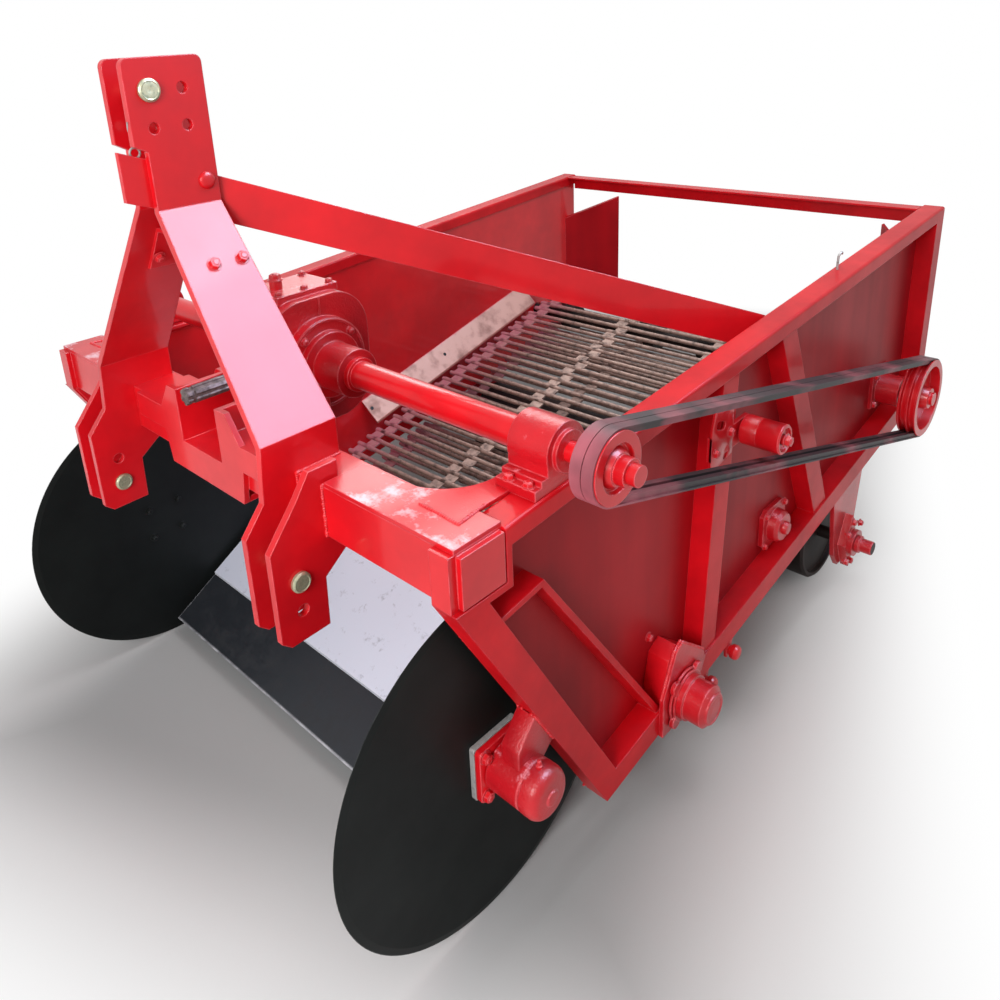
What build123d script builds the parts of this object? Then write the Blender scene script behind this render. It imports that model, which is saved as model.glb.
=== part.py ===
"""Tractor-mounted potato digger: hitch, belt-driven rod web, share and two side discs.

Millimetres. X is across, +X towards the belts. Y runs rearwards from the front face of the
cross beam and Z up from the ground. The finished pieces are moved so that the origin is the
tip of the input shaft, on its axis.
"""
from build123d import *
import math
import os

os.makedirs("parts", exist_ok=True)

# Reference point: the tip of the input shaft
shaft_z = 935.0  # height of the input and cross shafts above the ground
input_tip_y = -30.0  # the input shaft's tip, in front of the cross beam

# Outer faces of the side frames; what sits on them follows
frame_half = 700.0

# Three-point hitch
hitch_spacing = 683.0  # between the middles of the lower forks
fork_gap = 56.0  # clear width of a lower fork
hitch_plate = 14.0  # thickness of legs and ears
top_gap = 58.0  # clear width between the mast plates
mast_top_z = 1553.0
mast_front_y = -61.0
mast_rear_y = 85.0
mast_step_z = mast_top_z - 141  # below this the mast plate is narrower
mast_neck_y = -38.0
bend_upper_z = mast_top_z - 254
bend_lower_z = 940.0
leg_low_front_y = -63.0
leg_low_rear_y = 92.0
ear_bottom_z = 606.0
ear_front_y = -113.0
lower_hole_y = -64.0
lower_hole_z = (719.0, 662.0)  # upper and lower row of the lower forks
lower_hole_d = 22.4
lower_pin_d = 22.0
top_hole_y = (-20.0, 42.0)
top_hole_z = (mast_top_z - 53, mast_top_z - 115)
top_hole_d = 19.4
top_pin_d = 19.0
brace_sheet = 10.0
brace_height = 85.0
brace_front = (-85.0, mast_top_z - 148)
brace_bend = (85.0, mast_top_z - 209)
brace_end = (1030.0, 936.0)

# Cross beam and its middle cradle
beam_half = frame_half - 10
beam_depth = 100.0
beam_top_z = 870.0
beam_height = 95.0
beam_wall = 6.0
cradle_half = 137.0
cradle_wall = 12.0
cradle_top_z = 925.0
cradle_bottom_z = 746.0
notch_half = 75.0
notch_z = 812.0

# Side frames
tube = 50.0  # width across of the frame tubes
rail_width = 60.0
rail_height = 35.0
tube_round = 7.0  # rounding of the rail's top edges
rail_front_y = 100.0
frame_rear_y = 2047.0
rail_rear_z = 1004.0
tip_y = 362.0
tip_z = 122.0
bottom_rear_z = 404.0
nose_y = -12.0
member = 55.0  # depth of the frame tubes in side view
panel_sheet = 4.0

# Discs
disc_r = 350.0
disc_x = frame_half - 97  # inner face of a disc
disc_sheet = 6.0
disc_y = 139.0
hub_r = 47.5
hub_end_x = frame_half + 36
axle_r = 20.0
running_gap = 0.05

# Share
share_tip_y = 111.0
share_tip_z = 44.0
blade_back_y = 302.0
plate_back_y = 503.0
share_back_z = 272.0
blade_sheet = 12.0
plate_sheet = 6.0
share_half = disc_x - 18

# Rod web
web_front_y = 621.0
web_front_z = 217.0
web_rear_y = 1798.0
web_rear_z = 505.0
web_r = 55.0  # from a roller's axis to the middle of a rod
rod_r = 5.5
rod_half = frame_half - tube - panel_sheet - 60
rod_count = 68
link_width = 42.0
link_sheet = 7.0
link_step = 22.0  # sideways step between one link plate and the next
link_x = (38 - rod_half, -190.0, 190.0, rod_half - 38)
sprocket_x = (116 - rod_half, -105.0, 105.0, rod_half - 116)
roller_shaft_r = 20.0
mid_y = 1125.0  # the roller that carries the upper run
mid_roller_r = 24.0
mid_shaft_r = 15.0
seat = 0.3  # gap left at a curved seat

# Web run, from the front roller's axis to the rear one's
web_run = math.hypot(web_rear_y - web_front_y, web_rear_z - web_front_z)
web_slope = (web_rear_z - web_front_z) / (web_rear_y - web_front_y)
web_tilt = math.degrees(math.atan(web_slope))
mid_z = web_front_z + web_slope * (mid_y - web_front_y)
mid_z += (web_r - rod_r - seat - mid_roller_r) / math.cos(math.radians(web_tilt))

# Drive
cross_shaft_y = 253.0
cross_shaft_r = 17.5
tube_r = 28.0
bearing_r = 48.0
bearing_x = (frame_half - 88, frame_half - 6)
belt_x = (frame_half + 57, frame_half + 79)
belt_width = 16.0  # of the part that sits in a groove
belt_back = 20.4  # of the part that stands out of it
belt_depth = 11.0
front_pulley_r = 60.0
rear_pulley_r = 112.0
pulley_x = (frame_half + 44, frame_half + 92)
pulley_rim = belt_depth + 8

# Rear drum
drum_y = 1520.0
drum_r = 140.0
drum_half = frame_half - 60
drum_shaft_r = 17.5


def box(x, y, z):
    """A block between pairs of coordinates."""
    size = [abs(b - a) for a, b in (x, y, z)]
    middle = [(a + b) / 2 for a, b in (x, y, z)]
    return Pos(*middle) * Box(*size)


def side_prism(points, x0, x1):
    """An outline of (y, z) points, carried across from x0 to x1."""
    face = make_face(Polyline(*points, close=True))
    return extrude(Plane((x0, 0, 0), x_dir=(0, 1, 0), z_dir=(1, 0, 0)) * face, x1 - x0)


def front_prism(points, y0, y1):
    """An outline of (x, z) points, carried rearwards from y0 to y1."""
    face = make_face(Polyline(*points, close=True))
    return extrude(Plane((0, y1, 0), x_dir=(1, 0, 0), z_dir=(0, -1, 0)) * face, y1 - y0)


def flat_prism(points, z0, z1):
    """An outline of (x, y) points, raised from z0 to z1."""
    face = make_face(Polyline(*points, close=True))
    return extrude(Plane((0, 0, z0)) * face, z1 - z0)


def bar_x(r, x0, x1, y, z):
    """A round bar across."""
    return Pos((x0 + x1) / 2, y, z) * Rot(0, 90, 0) * Cylinder(r, abs(x1 - x0))


def bar_y(r, y0, y1, x, z):
    """A round bar along."""
    return Pos(x, (y0 + y1) / 2, z) * Rot(90, 0, 0) * Cylinder(r, abs(y1 - y0))


def turned(profile, y, z):
    """A turned piece about a cross axis: (x, r) points from the axis outwards."""
    face = make_face(Polyline(*profile, close=True))
    return Pos(0, y, z) * revolve(face, Axis.X)


def inset(points, depths):
    """The outline inside a counter-clockwise one, each edge moved in by its own depth."""
    lines = []
    for i, depth in enumerate(depths):
        (y0, z0), (y1, z1) = points[i], points[(i + 1) % len(points)]
        length = math.hypot(y1 - y0, z1 - z0)
        dy, dz = (y1 - y0) / length, (z1 - z0) / length
        lines.append((y0 - dz * depth, z0 + dy * depth, dy, dz))
    corners = []
    for i, (y0, z0, dy, dz) in enumerate(lines):
        yp, zp, py, pz = lines[i - 1]
        t = ((y0 - yp) * pz - (z0 - zp) * py) / (dz * py - dy * pz)
        corners.append((y0 + dy * t, z0 + dz * t))
    return corners


def save(name, part):
    """Writes one piece, moved to the reference point."""
    placed = Pos(0, -input_tip_y, -shaft_z) * part
    placed.label = name
    export_step(placed, f"parts/{name}.step")


def both(name, part, mirrored=None):
    """Writes a +X piece and its mirror image."""
    save(f"{name}_right", part)
    save(f"{name}_left", mirrored if mirrored is not None else mirror(part, about=Plane.YZ))


# Headstock legs: vertical plate, sloped stretch, vertical fork cheek
leg_top_x = top_gap / 2 + hitch_plate
leg_low_x = (hitch_spacing - fork_gap) / 2
slope = math.atan2(leg_low_x - leg_top_x, bend_upper_z - bend_lower_z)
bend_drop = hitch_plate * math.tan(slope / 2)
beam_bottom_z = beam_top_z - beam_height
leg_outer = [
    (leg_top_x, mast_top_z),
    (leg_top_x, bend_upper_z),
    (leg_low_x, bend_lower_z),
    (leg_low_x, ear_bottom_z - 20),
]
leg_inner = [
    (leg_low_x - hitch_plate, ear_bottom_z - 20),
    (leg_low_x - hitch_plate, bend_lower_z - bend_drop),
    (leg_top_x - hitch_plate, bend_upper_z - bend_drop),
    (leg_top_x - hitch_plate, mast_top_z),
]
fork_front = [
    (ear_front_y + 18, ear_bottom_z - 2),
    (ear_front_y, ear_bottom_z + 14),
    (ear_front_y, beam_top_z - 80),
]
fork_rear = [
    (0, beam_bottom_z),
    (55, beam_bottom_z),
    (55, beam_bottom_z - 25),
    (-12, ear_bottom_z + 94),
    (-15, ear_bottom_z),
]
leg_side = (
    [(mast_front_y, mast_top_z), (mast_front_y, mast_step_z), (mast_neck_y, mast_step_z - 12)]
    + [(mast_neck_y, bend_upper_z), (leg_low_front_y, bend_lower_z), (leg_low_front_y - 8, beam_top_z - 30)]
    + fork_front[::-1]
    + fork_rear[::-1]
    + [(0, beam_top_z), (leg_low_rear_y, beam_top_z), (leg_low_rear_y, bend_lower_z)]
    + [(mast_rear_y, bend_upper_z), (mast_rear_y, mast_top_z)]
)
leg = front_prism(leg_outer + leg_inner, ear_front_y - 5, leg_low_rear_y + 5)
leg &= side_prism(leg_side, 0, leg_low_x + 1)
top_corners = leg.edges().filter_by(Axis.X).group_by(Axis.Z)[-1]
leg = fillet(top_corners, 14)
for y in top_hole_y:
    for z in top_hole_z:
        leg -= bar_x(top_hole_d / 2, 0, leg_top_x + 1, y, z)
for z in lower_hole_z:
    leg -= bar_x(lower_hole_d / 2, leg_low_x - 30, leg_low_x + 10, lower_hole_y, z)
both("mast_leg", leg)

# Outer ears of the lower forks, hooked over and under the beam
ear_x = leg_low_x + fork_gap
ear_side = (
    [(-50, beam_top_z - 4), (-23, beam_top_z + 35), (35, beam_top_z + 35), (35, beam_top_z), (0, beam_top_z)]
    + fork_rear
    + fork_front
)
ear = side_prism(ear_side, ear_x, ear_x + hitch_plate)
for z in lower_hole_z:
    ear -= bar_x(lower_hole_d / 2, ear_x - 1, ear_x + hitch_plate + 1, lower_hole_y, z)
both("fork_ear", ear)

# Hitch pins: headed on the +X side, nut on the other; the two lower ones sit in different rows
pin_head = 9.0
nut_width = 16.0


def pin(r, x0, x1, y, z):
    """A headed pin from its nut face x0 to its head face x1."""
    shank = bar_x(r, x0 - nut_width - 6, x1, y, z)
    head = bar_x(r * 1.75, x1, x1 + pin_head, y, z)
    nut = extrude(Plane((x0 - nut_width, y, z), x_dir=(0, 1, 0), z_dir=(1, 0, 0)) * RegularPolygon(r * 1.7, 6), nut_width)
    return shank + head + nut


save("top_link_pin", pin(top_pin_d / 2, -leg_top_x, leg_top_x, top_hole_y[0], top_hole_z[0]))
save("lower_pin_right", pin(lower_pin_d / 2, leg_low_x - hitch_plate, ear_x + hitch_plate, lower_hole_y, lower_hole_z[0]))
save("lower_pin_left", pin(lower_pin_d / 2, -ear_x - hitch_plate, hitch_plate - leg_low_x, lower_hole_y, lower_hole_z[1]))

# Bent spacer between the sloped legs, just under the brace bar
spacer_top_z = brace_bend[1] - brace_height - 8
spacer_foot_z = spacer_top_z - 0.283 * (spacer_top_z - bend_lower_z)
spacer_sheet = 8.0
spacer_y = (2.0, 82.0)


def leg_inside(z):
    """Inner face of the sloped leg at a height, across."""
    return leg_top_x - hitch_plate + (bend_upper_z - bend_drop - z) * math.tan(slope)


spacer_wall = spacer_sheet / math.cos(slope)
spacer_under_z = spacer_top_z - spacer_sheet
spacer_half = [
    (leg_inside(spacer_top_z), spacer_top_z),
    (leg_inside(spacer_foot_z), spacer_foot_z),
    (leg_inside(spacer_foot_z) - spacer_wall, spacer_foot_z),
    (leg_inside(spacer_under_z) - spacer_wall, spacer_under_z),
]
spacer_outline = spacer_half + [(-x, z) for x, z in reversed(spacer_half)]
save("mast_spacer", front_prism(spacer_outline, *spacer_y))

# Cross beam: two box tubes on a notched middle cradle
beam = box((-beam_half, beam_half), (0, beam_depth), (beam_bottom_z, beam_top_z))
beam -= box(
    (-beam_half, beam_half),
    (beam_wall, beam_depth - beam_wall),
    (beam_bottom_z + beam_wall, beam_top_z - beam_wall),
)
notch = box((-notch_half, notch_half), (-50, beam_depth + 50), (notch_z, cradle_top_z + 10))
cradle_outline = [
    (-cradle_half, cradle_bottom_z),
    (cradle_half, cradle_bottom_z),
    (cradle_half + 13, beam_bottom_z + 43),
    (263, beam_bottom_z + 43),
    (263, beam_top_z),
    (cradle_half + 13, beam_top_z),
    (110, cradle_top_z),
    (-110, cradle_top_z),
    (-cradle_half - 13, beam_top_z),
    (-263, beam_top_z),
    (-263, beam_bottom_z + 43),
    (-cradle_half - 13, beam_bottom_z + 43),
]
cradle = front_prism(cradle_outline, -cradle_wall, 0) + front_prism(cradle_outline, beam_depth, beam_depth + cradle_wall)
for side in (-1, 1):
    cradle += box(
        sorted((side * notch_half, side * (notch_half + cradle_wall))), (0, beam_depth), (notch_z, cradle_top_z)
    )
cradle += box((-notch_half - cradle_wall, notch_half + cradle_wall), (0, beam_depth), (notch_z - cradle_wall, notch_z))
cradle += box((-cradle_half, cradle_half), (0, beam_depth), (cradle_bottom_z, cradle_bottom_z + cradle_wall))
beam = (beam - notch + cradle) - notch
end_cap = box((beam_half, frame_half), (4, beam_depth - 4), (beam_bottom_z + 4, beam_top_z - 4))
nose_block = box((beam_half - 40, beam_half), (nose_y, 0), (beam_bottom_z, beam_top_z))
beam = beam + end_cap + nose_block + mirror(nose_block, about=Plane.YZ)
save("cross_beam", beam)

# Corner plates on the beam and along the rails, with a large arc cut for the web
corner_sheet = 8.0
corner_x = ear_x + hitch_plate + 6
arc_r = 110.0
plate_edge_y = 86.0
plate_tail_y = 330.0
rail_rise = (rail_rear_z - beam_top_z) / (frame_rear_y - rail_front_y)
rail_inner_x = frame_half - rail_width
corner = flat_prism(
    [
        (corner_x, 0),
        (beam_half, 0),
        (beam_half, beam_depth),
        (rail_inner_x, beam_depth),
        (rail_inner_x, plate_tail_y),
        (rail_inner_x - 45, plate_tail_y),
        (rail_inner_x - 45, plate_edge_y),
        (corner_x, plate_edge_y),
    ],
    beam_top_z,
    beam_top_z + corner_sheet,
)
inner_edges = [
    e
    for e in corner.edges().filter_by(Axis.Z)
    if abs(e.center().X - rail_inner_x + 45) < 1 and abs(e.center().Y - plate_edge_y) < 1
]
corner = fillet(inner_edges, min(arc_r, 0.9 * (rail_inner_x - 45 - corner_x)))
both("corner_plate", corner)

# Side frames: rail, sloped nose member, bottom rail and posts in one weldment
outline = [
    (nose_y, beam_bottom_z),
    (tip_y, tip_z),
    (frame_rear_y, bottom_rear_z),
    (frame_rear_y, rail_rear_z),
    (rail_front_y, beam_top_z),
    (rail_front_y, beam_bottom_z),
]
tube_x = frame_half - tube
ring = side_prism(outline, tube_x, frame_half) - side_prism(
    inset(outline, (member, member, member, rail_height, 12, 12)), tube_x - 1, frame_half + 1
)


def bottom_z(y):
    """Lower edge of the bottom rail."""
    return tip_z + (bottom_rear_z - tip_z) * (y - tip_y) / (frame_rear_y - tip_y)


def rail_z(y):
    """Top of the rail."""
    return beam_top_z + rail_rise * (y - rail_front_y)


rail = side_prism(
    [
        (rail_front_y, beam_top_z - rail_height),
        (frame_rear_y, rail_rear_z - rail_height),
        (frame_rear_y, rail_rear_z),
        (rail_front_y, beam_top_z),
    ],
    rail_inner_x,
    frame_half,
)
frame = ring + rail
# Posts: foot y at the bottom rail, head y at the rail, width
for foot_y, head_y, width in ((745.0, 790.0, 62.0), (1335.0, 1040.0, 70.0)):
    frame += side_prism(
        [
            (foot_y - width / 2, bottom_z(foot_y) + 20),
            (foot_y + width / 2, bottom_z(foot_y) + 30),
            (head_y + width / 2, rail_z(head_y) - 20),
            (head_y - width / 2, rail_z(head_y) - 20),
        ],
        tube_x,
        frame_half - 4,
    )
# Angle rib that stiffens the nose of the panel
rib = [(66, 700), (186, 716), (548, 200), (562, 204), (192, 728), (66, 710)]
frame += side_prism(rib, tube_x, frame_half - 6)
hole_x = (tube_x - 60, frame_half + 50)
front_hole = bar_x(roller_shaft_r + 6, *hole_x, web_front_y, web_front_z)
frame -= front_hole
# The rail is a tube with rounded edges
rail_edges = [
    e
    for e in frame.edges()
    if e.length > 1500 and abs(e.center().Z - rail_z(e.center().Y)) < 1 and abs(e.center().X - tube_x) > 5
]
frame = fillet(rail_edges, tube_round)
both("side_frame", frame)

panel_x = (tube_x - panel_sheet, tube_x)
panel = side_prism(inset(outline, (4, 4, 4, rail_height, 0, 0)), *panel_x)
panel -= front_hole
panel -= bar_x(roller_shaft_r + 6, *hole_x, web_rear_y, web_rear_z)
panel -= bar_x(mid_shaft_r + 6, *hole_x, mid_y, mid_z)
both("side_panel", panel)

# Rear cross angle between the rails
angle_sheet = 6.0
angle_side = 50.0
angle_top = rail_rear_z - 4
angle_x = (-rail_inner_x, rail_inner_x)
rear_angle = box(angle_x, (frame_rear_y - angle_side, frame_rear_y), (angle_top - angle_sheet, angle_top))
rear_angle += box(angle_x, (frame_rear_y - angle_sheet, frame_rear_y), (angle_top - angle_side, angle_top))
save("rear_cross_angle", rear_angle)

# Deflector plates inside the rear posts
flare_x, flare_y = panel_x[0], frame_rear_y - 62
flare = [(flare_x, flare_y), (flare_x, flare_y + 15), (flare_x - 141, flare_y + 165), (flare_x - 147, flare_y + 160)]
deflector = flat_prism(flare, 520, 920)
deflector &= side_prism(
    [(flare_y - 5, 520), (flare_y + 170, 520), (flare_y + 170, 915), (flare_y - 5, 835)], flare_x - 156, tube_x
)
both("deflector", deflector)

# Brace bar on edge, bent behind the mast and butted against the +X rail
bar_out = top_gap / 2
bar_in = bar_out - brace_sheet
brace = flat_prism(
    [
        (bar_in, brace_front[0]),
        (bar_out, brace_front[0]),
        (bar_out, brace_bend[0]),
        (rail_inner_x, brace_end[0]),
        (rail_inner_x, brace_end[0] + 16),
        (bar_in, brace_bend[0] + 6),
    ],
    brace_end[1] - brace_height - 50,
    brace_front[1] + 50,
)
brace &= side_prism(
    [
        (brace_front[0], brace_front[1] - brace_height),
        (brace_bend[0], brace_bend[1] - brace_height),
        (brace_end[0] + 20, brace_end[1] - brace_height - 8),
        (brace_end[0] + 20, brace_end[1] - 8),
        brace_bend,
        brace_front,
    ],
    0,
    rail_inner_x,
)
save("brace_bar", brace)

# Gearbox, input shaft, cross shaft in its tube
gearbox_half = 138.0
gearbox = box((-108, 60), (126, 380), (shaft_z - gearbox_half, shaft_z + gearbox_half))
gearbox = fillet(gearbox.edges().filter_by(Axis.X), 88)
gearbox += box((-84, 36), (178, 328), (shaft_z + gearbox_half - 4, shaft_z + gearbox_half + 12))
gearbox += Pos(-20, 215, shaft_z + gearbox_half + 22) * Cylinder(13, 28)
gearbox += bar_x(96, 55, 82, cross_shaft_y, shaft_z)
gearbox += bar_x(70, 82, 98, cross_shaft_y, shaft_z)
gearbox += bar_x(50, 98, 176, cross_shaft_y, shaft_z)
gearbox += bar_x(72, -126, -104, cross_shaft_y, shaft_z)
gearbox += bar_x(50, -176, -126, cross_shaft_y, shaft_z)
gearbox += bar_y(50, 114, 140, 0, shaft_z)
for x in (-84, 84):
    gearbox += box((x - 7, x + 7), (beam_depth + cradle_wall, 240), (shaft_z - 110, shaft_z - 16))
gearbox -= bar_y(cross_shaft_r + running_gap, 100, 180, 0, shaft_z)
gearbox -= bar_x(cross_shaft_r + running_gap, -190, 190, cross_shaft_y, shaft_z)
save("gearbox", gearbox)
save("input_shaft", bar_y(cross_shaft_r, input_tip_y, 175, 0, shaft_z))

shaft_tube = bar_x(tube_r, 176, bearing_x[0], cross_shaft_y, shaft_z)
shaft_tube += bar_x(tube_r + 7, 176, 188, cross_shaft_y, shaft_z)
shaft_tube -= bar_x(tube_r - 6, 140, bearing_x[0] + 1, cross_shaft_y, shaft_z)
both("shaft_tube", shaft_tube)


def standing(half, top):
    """A block about the cross shaft that stands on the sloping rail."""
    y0, y1 = cross_shaft_y - half, cross_shaft_y + half
    return side_prism([(y0, rail_z(y0)), (y1, rail_z(y1)), (y1, top), (y0, top)], *bearing_x)


block = bar_x(bearing_r, *bearing_x, cross_shaft_y, shaft_z)
block += standing(46, shaft_z - 10) + standing(62, 904) + standing(78, 893)
block += bar_x(36, bearing_x[1], bearing_x[1] + 8, cross_shaft_y, shaft_z)
block -= bar_x(cross_shaft_r + running_gap, bearing_x[0] - 1, bearing_x[1] + 9, cross_shaft_y, shaft_z)
block -= corner
both("shaft_bearing", block)
save("cross_shaft", bar_x(cross_shaft_r, -frame_half - 22, frame_half + 130, cross_shaft_y, shaft_z))


def pulley(r, hub, boss, bore, dish, ends, y, z):
    """A two-groove V pulley, dished round its hub, with a smaller boss on the outer side."""
    x0, x1 = pulley_x
    web = (x0 + 12, x1 - dish)
    half_top, half_root = belt_width / 2 + 0.6, belt_width / 2 - 2.2
    rim = [(x0, r)]
    for x in belt_x:
        rim += [(x - half_top, r), (x - half_root, r - belt_depth - 2)]
        rim += [(x + half_root, r - belt_depth - 2), (x + half_top, r)]
    rim += [(x1, r), (x1, r - pulley_rim), (web[1], r - pulley_rim - 2), (web[1], hub + 2)]
    rim += [(x1 + 4, hub - 5), (x1 + 4, boss), (ends[1], boss), (ends[1], bore), (ends[0], bore)]
    rim += [(ends[0], hub), (web[0], hub), (web[0], r - pulley_rim - 2), (x0, r - pulley_rim)]
    return turned(rim, y, z)


hub_ends = (frame_half + 30, frame_half + 115)
drive_pulley = pulley(front_pulley_r, 32, 24, cross_shaft_r + running_gap, 9, hub_ends, cross_shaft_y, shaft_z)
save("drive_pulley", drive_pulley)
stub_end = frame_half - 10
driven = pulley(rear_pulley_r, 34, 19, 0.0, 26, (stub_end, frame_half + 105), web_rear_y, web_rear_z)
driven -= bar_x(60, stub_end - 1, pulley_x[0] - 12, web_rear_y, web_rear_z) - bar_x(
    cross_shaft_r, stub_end - 1, pulley_x[0], web_rear_y, web_rear_z
)
save("driven_pulley", driven)


def belt_outline(offset):
    """Side outline of a belt run at a distance outside the pulleys' rims."""
    r1, r2 = front_pulley_r + offset, rear_pulley_r + offset
    dy, dz = web_rear_y - cross_shaft_y, web_rear_z - shaft_z
    heading = math.atan2(dz, dy)
    lean = math.asin((r2 - r1) / math.hypot(dy, dz))
    up = heading + math.pi / 2 + lean
    down = heading - math.pi / 2 - lean
    arcs = []
    for y, z, r, start, sweep in (
        (cross_shaft_y, shaft_z, r1, up, 2 * math.pi - (up - down)),
        (web_rear_y, web_rear_z, r2, down, up - down),
    ):
        turns = [start + sweep * k / 2 for k in range(3)]
        arcs.append([(y + r * math.cos(turn), z + r * math.sin(turn)) for turn in turns])
    (a, b, c), (d, e, f) = arcs
    return make_face(Wire([ThreePointArc(a, b, c), Line(c, d), ThreePointArc(d, e, f), Line(f, a)]))


def belt_layer(x, width, low, high):
    """One layer of a belt, of one width."""
    band = belt_outline(high) - belt_outline(low)
    return extrude(Plane((x - width / 2, 0, 0), x_dir=(0, 1, 0), z_dir=(1, 0, 0)) * band, width)


def belt(x):
    """One V belt round both pulleys, its back standing out of the grooves."""
    return belt_layer(x, belt_back, 0.4, 3.6) + belt_layer(x, belt_width - 3.2, 1 - belt_depth, 0.4)


for index, x in enumerate(belt_x):
    save(f"v_belt_{index + 1}", belt(x))

# Belt idler on a pin in the side frame
idler_y = 830.0
idler_z = 756.0
idler_r = 32.0
idler_pin_r = 10.0
idler_arm = box((frame_half - 4, frame_half + 6), (idler_y - 130, idler_y + 24), (idler_z - 28, idler_z + 24))
idler_arm += bar_x(idler_pin_r, frame_half, frame_half + 102, idler_y, idler_z)
save("idler_bracket", idler_arm)
idler = bar_x(idler_r, frame_half + 10, frame_half + 96, idler_y, idler_z)
idler -= bar_x(idler_pin_r + running_gap, frame_half, frame_half + 150, idler_y, idler_z)
save("belt_idler", idler)

# Discs with square flange and stub axle, and their fixed hub housings
disc_outer = disc_x + disc_sheet
flange_sheet = 12.0
flange_side = 112.0
hub_start_x = disc_outer + 2 * flange_sheet + 2
disc = turned(
    [(disc_x, 0), (disc_x, disc_r - 14), (disc_x + disc_sheet / 2, disc_r), (disc_outer, disc_r - 14), (disc_outer, 0)],
    disc_y,
    disc_r,
)
both("disc", disc)
flange_z = (disc_r - flange_side / 2, disc_r + flange_side / 2)
flange = box((disc_outer, disc_outer + 2 * flange_sheet), (disc_y - flange_side / 2, disc_y + flange_side / 2), flange_z)
flange += bar_x(axle_r, disc_outer, hub_end_x - 6, disc_y, disc_r)
both("disc_flange", flange)


def nose_line(z):
    """Front face of the sloped nose member at a height."""
    return nose_y + (tip_y - nose_y) * (beam_bottom_z - z) / (beam_bottom_z - tip_z)


housing = turned(
    [
        (hub_start_x, 0),
        (hub_start_x, hub_r),
        (hub_end_x, hub_r),
        (hub_end_x + 9, hub_r * 0.62),
        (hub_end_x + 12, 18),
        (hub_end_x + 12, 0),
    ],
    disc_y,
    disc_r,
)
housing += side_prism(
    [
        (disc_y - 25, disc_r + 20),
        (disc_y - 25, disc_r + 75),
        (nose_line(475), 475),
        (nose_line(395), 395),
        (disc_y + 35, disc_r + 10),
    ],
    tube_x + 5,
    frame_half - 5,
)
housing -= bar_x(axle_r + running_gap, hub_start_x - 1, hub_end_x - 3, disc_y, disc_r)
both("disc_housing", housing)

# Share: blade in front, plate behind, carrier bar between the side panels
share_rise = (share_back_z - share_tip_z) / (plate_back_y - share_tip_y)


def share_z(y):
    """Top of the share at a distance back."""
    return share_tip_z + share_rise * (y - share_tip_y)


normal_drop = math.sqrt(1 + share_rise**2)
blade = side_prism(
    [
        (share_tip_y, share_tip_z),
        (share_tip_y + 40, share_z(share_tip_y + 40) - blade_sheet * normal_drop),
        (blade_back_y, share_z(blade_back_y) - blade_sheet * normal_drop),
        (blade_back_y, share_z(blade_back_y)),
    ],
    -share_half,
    share_half,
)
save("share_blade", blade)
plate_drop = plate_sheet * normal_drop
share_plate = side_prism(
    [
        (blade_back_y - 60, share_z(blade_back_y - 60)),
        (plate_back_y, share_z(plate_back_y)),
        (plate_back_y, share_z(plate_back_y) + plate_drop),
        (blade_back_y - 60, share_z(blade_back_y - 60) + plate_drop),
    ],
    -share_half,
    share_half,
)
save("share_plate", share_plate)
carrier_y = (487.0, 527.0)
carrier = side_prism(
    [
        (carrier_y[0], share_z(carrier_y[0]) - 42),
        (carrier_y[1], share_z(carrier_y[0]) - 42),
        (carrier_y[1], share_z(plate_back_y)),
        (plate_back_y, share_z(plate_back_y)),
        (carrier_y[0], share_z(carrier_y[0])),
    ],
    -panel_x[0],
    panel_x[0],
)
for x in (-420.0, -140.0, 140.0, 420.0):
    carrier += side_prism(
        [
            (blade_back_y - 60, share_z(blade_back_y - 60) - blade_sheet * normal_drop),
            (blade_back_y - 60, share_z(blade_back_y - 60) - blade_sheet * normal_drop - 10),
            (carrier_y[0] + 1, share_z(carrier_y[0]) - 42),
            (carrier_y[0] + 1, share_z(carrier_y[0])),
            (blade_back_y, share_z(blade_back_y)),
            (blade_back_y, share_z(blade_back_y) - blade_sheet * normal_drop),
        ],
        x - 8,
        x + 8,
    )
save("share_carrier", carrier)

# Rod web: a loop of cross rods on flat bands round two roller sets
web_place = Pos(0, web_front_y, web_front_z) * Rot(web_tilt, 0, 0)


def loop_point(distance):
    """Place of a rod at a distance along the loop, in the web's own side view."""
    turn = math.pi * web_r
    if distance < web_run:
        return distance, web_r
    if distance < web_run + turn:
        angle = math.pi / 2 - (distance - web_run) / web_r
        return web_run + web_r * math.cos(angle), web_r * math.sin(angle)
    if distance < 2 * web_run + turn:
        return 2 * web_run + turn - distance, -web_r
    angle = -math.pi / 2 - (distance - 2 * web_run - turn) / web_r
    return web_r * math.cos(angle), web_r * math.sin(angle)


rod_pitch = (2 * web_run + 2 * math.pi * web_r) / rod_count
rod_places = [loop_point(k * rod_pitch) for k in range(rod_count)]
rods_on_run = int(web_run / rod_pitch) + 1
rods_on_turn = int((web_run + math.pi * web_r) / rod_pitch) + 1 - rods_on_run


def rod(index):
    """A cross rod, drawn six-sided."""
    y, z = rod_places[index % rod_count]
    return extrude(Plane((-rod_half, y, z), x_dir=(0, 1, 0), z_dir=(1, 0, 0)) * RegularPolygon(rod_r, 6), 2 * rod_half)


def link_plate(index, x):
    """A flat link from one rod to the next, stepped sideways on every other pair."""
    (y0, z0), (y1, z1) = rod_places[index % rod_count], rod_places[(index + 1) % rod_count]
    length = math.hypot(y1 - y0, z1 - z0)
    dy, dz = (y0 - y1) / length * link_sheet / 2, (z1 - z0) / length * link_sheet / 2
    corners = [(y0 - dz, z0 - dy), (y1 - dz, z1 - dy), (y1 + dz, z1 + dy), (y0 + dz, z0 + dy)]
    start = x - link_width / 2 + (link_step if index % 2 else -link_step) / 2
    return side_prism(corners, start, start + link_width)


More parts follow.
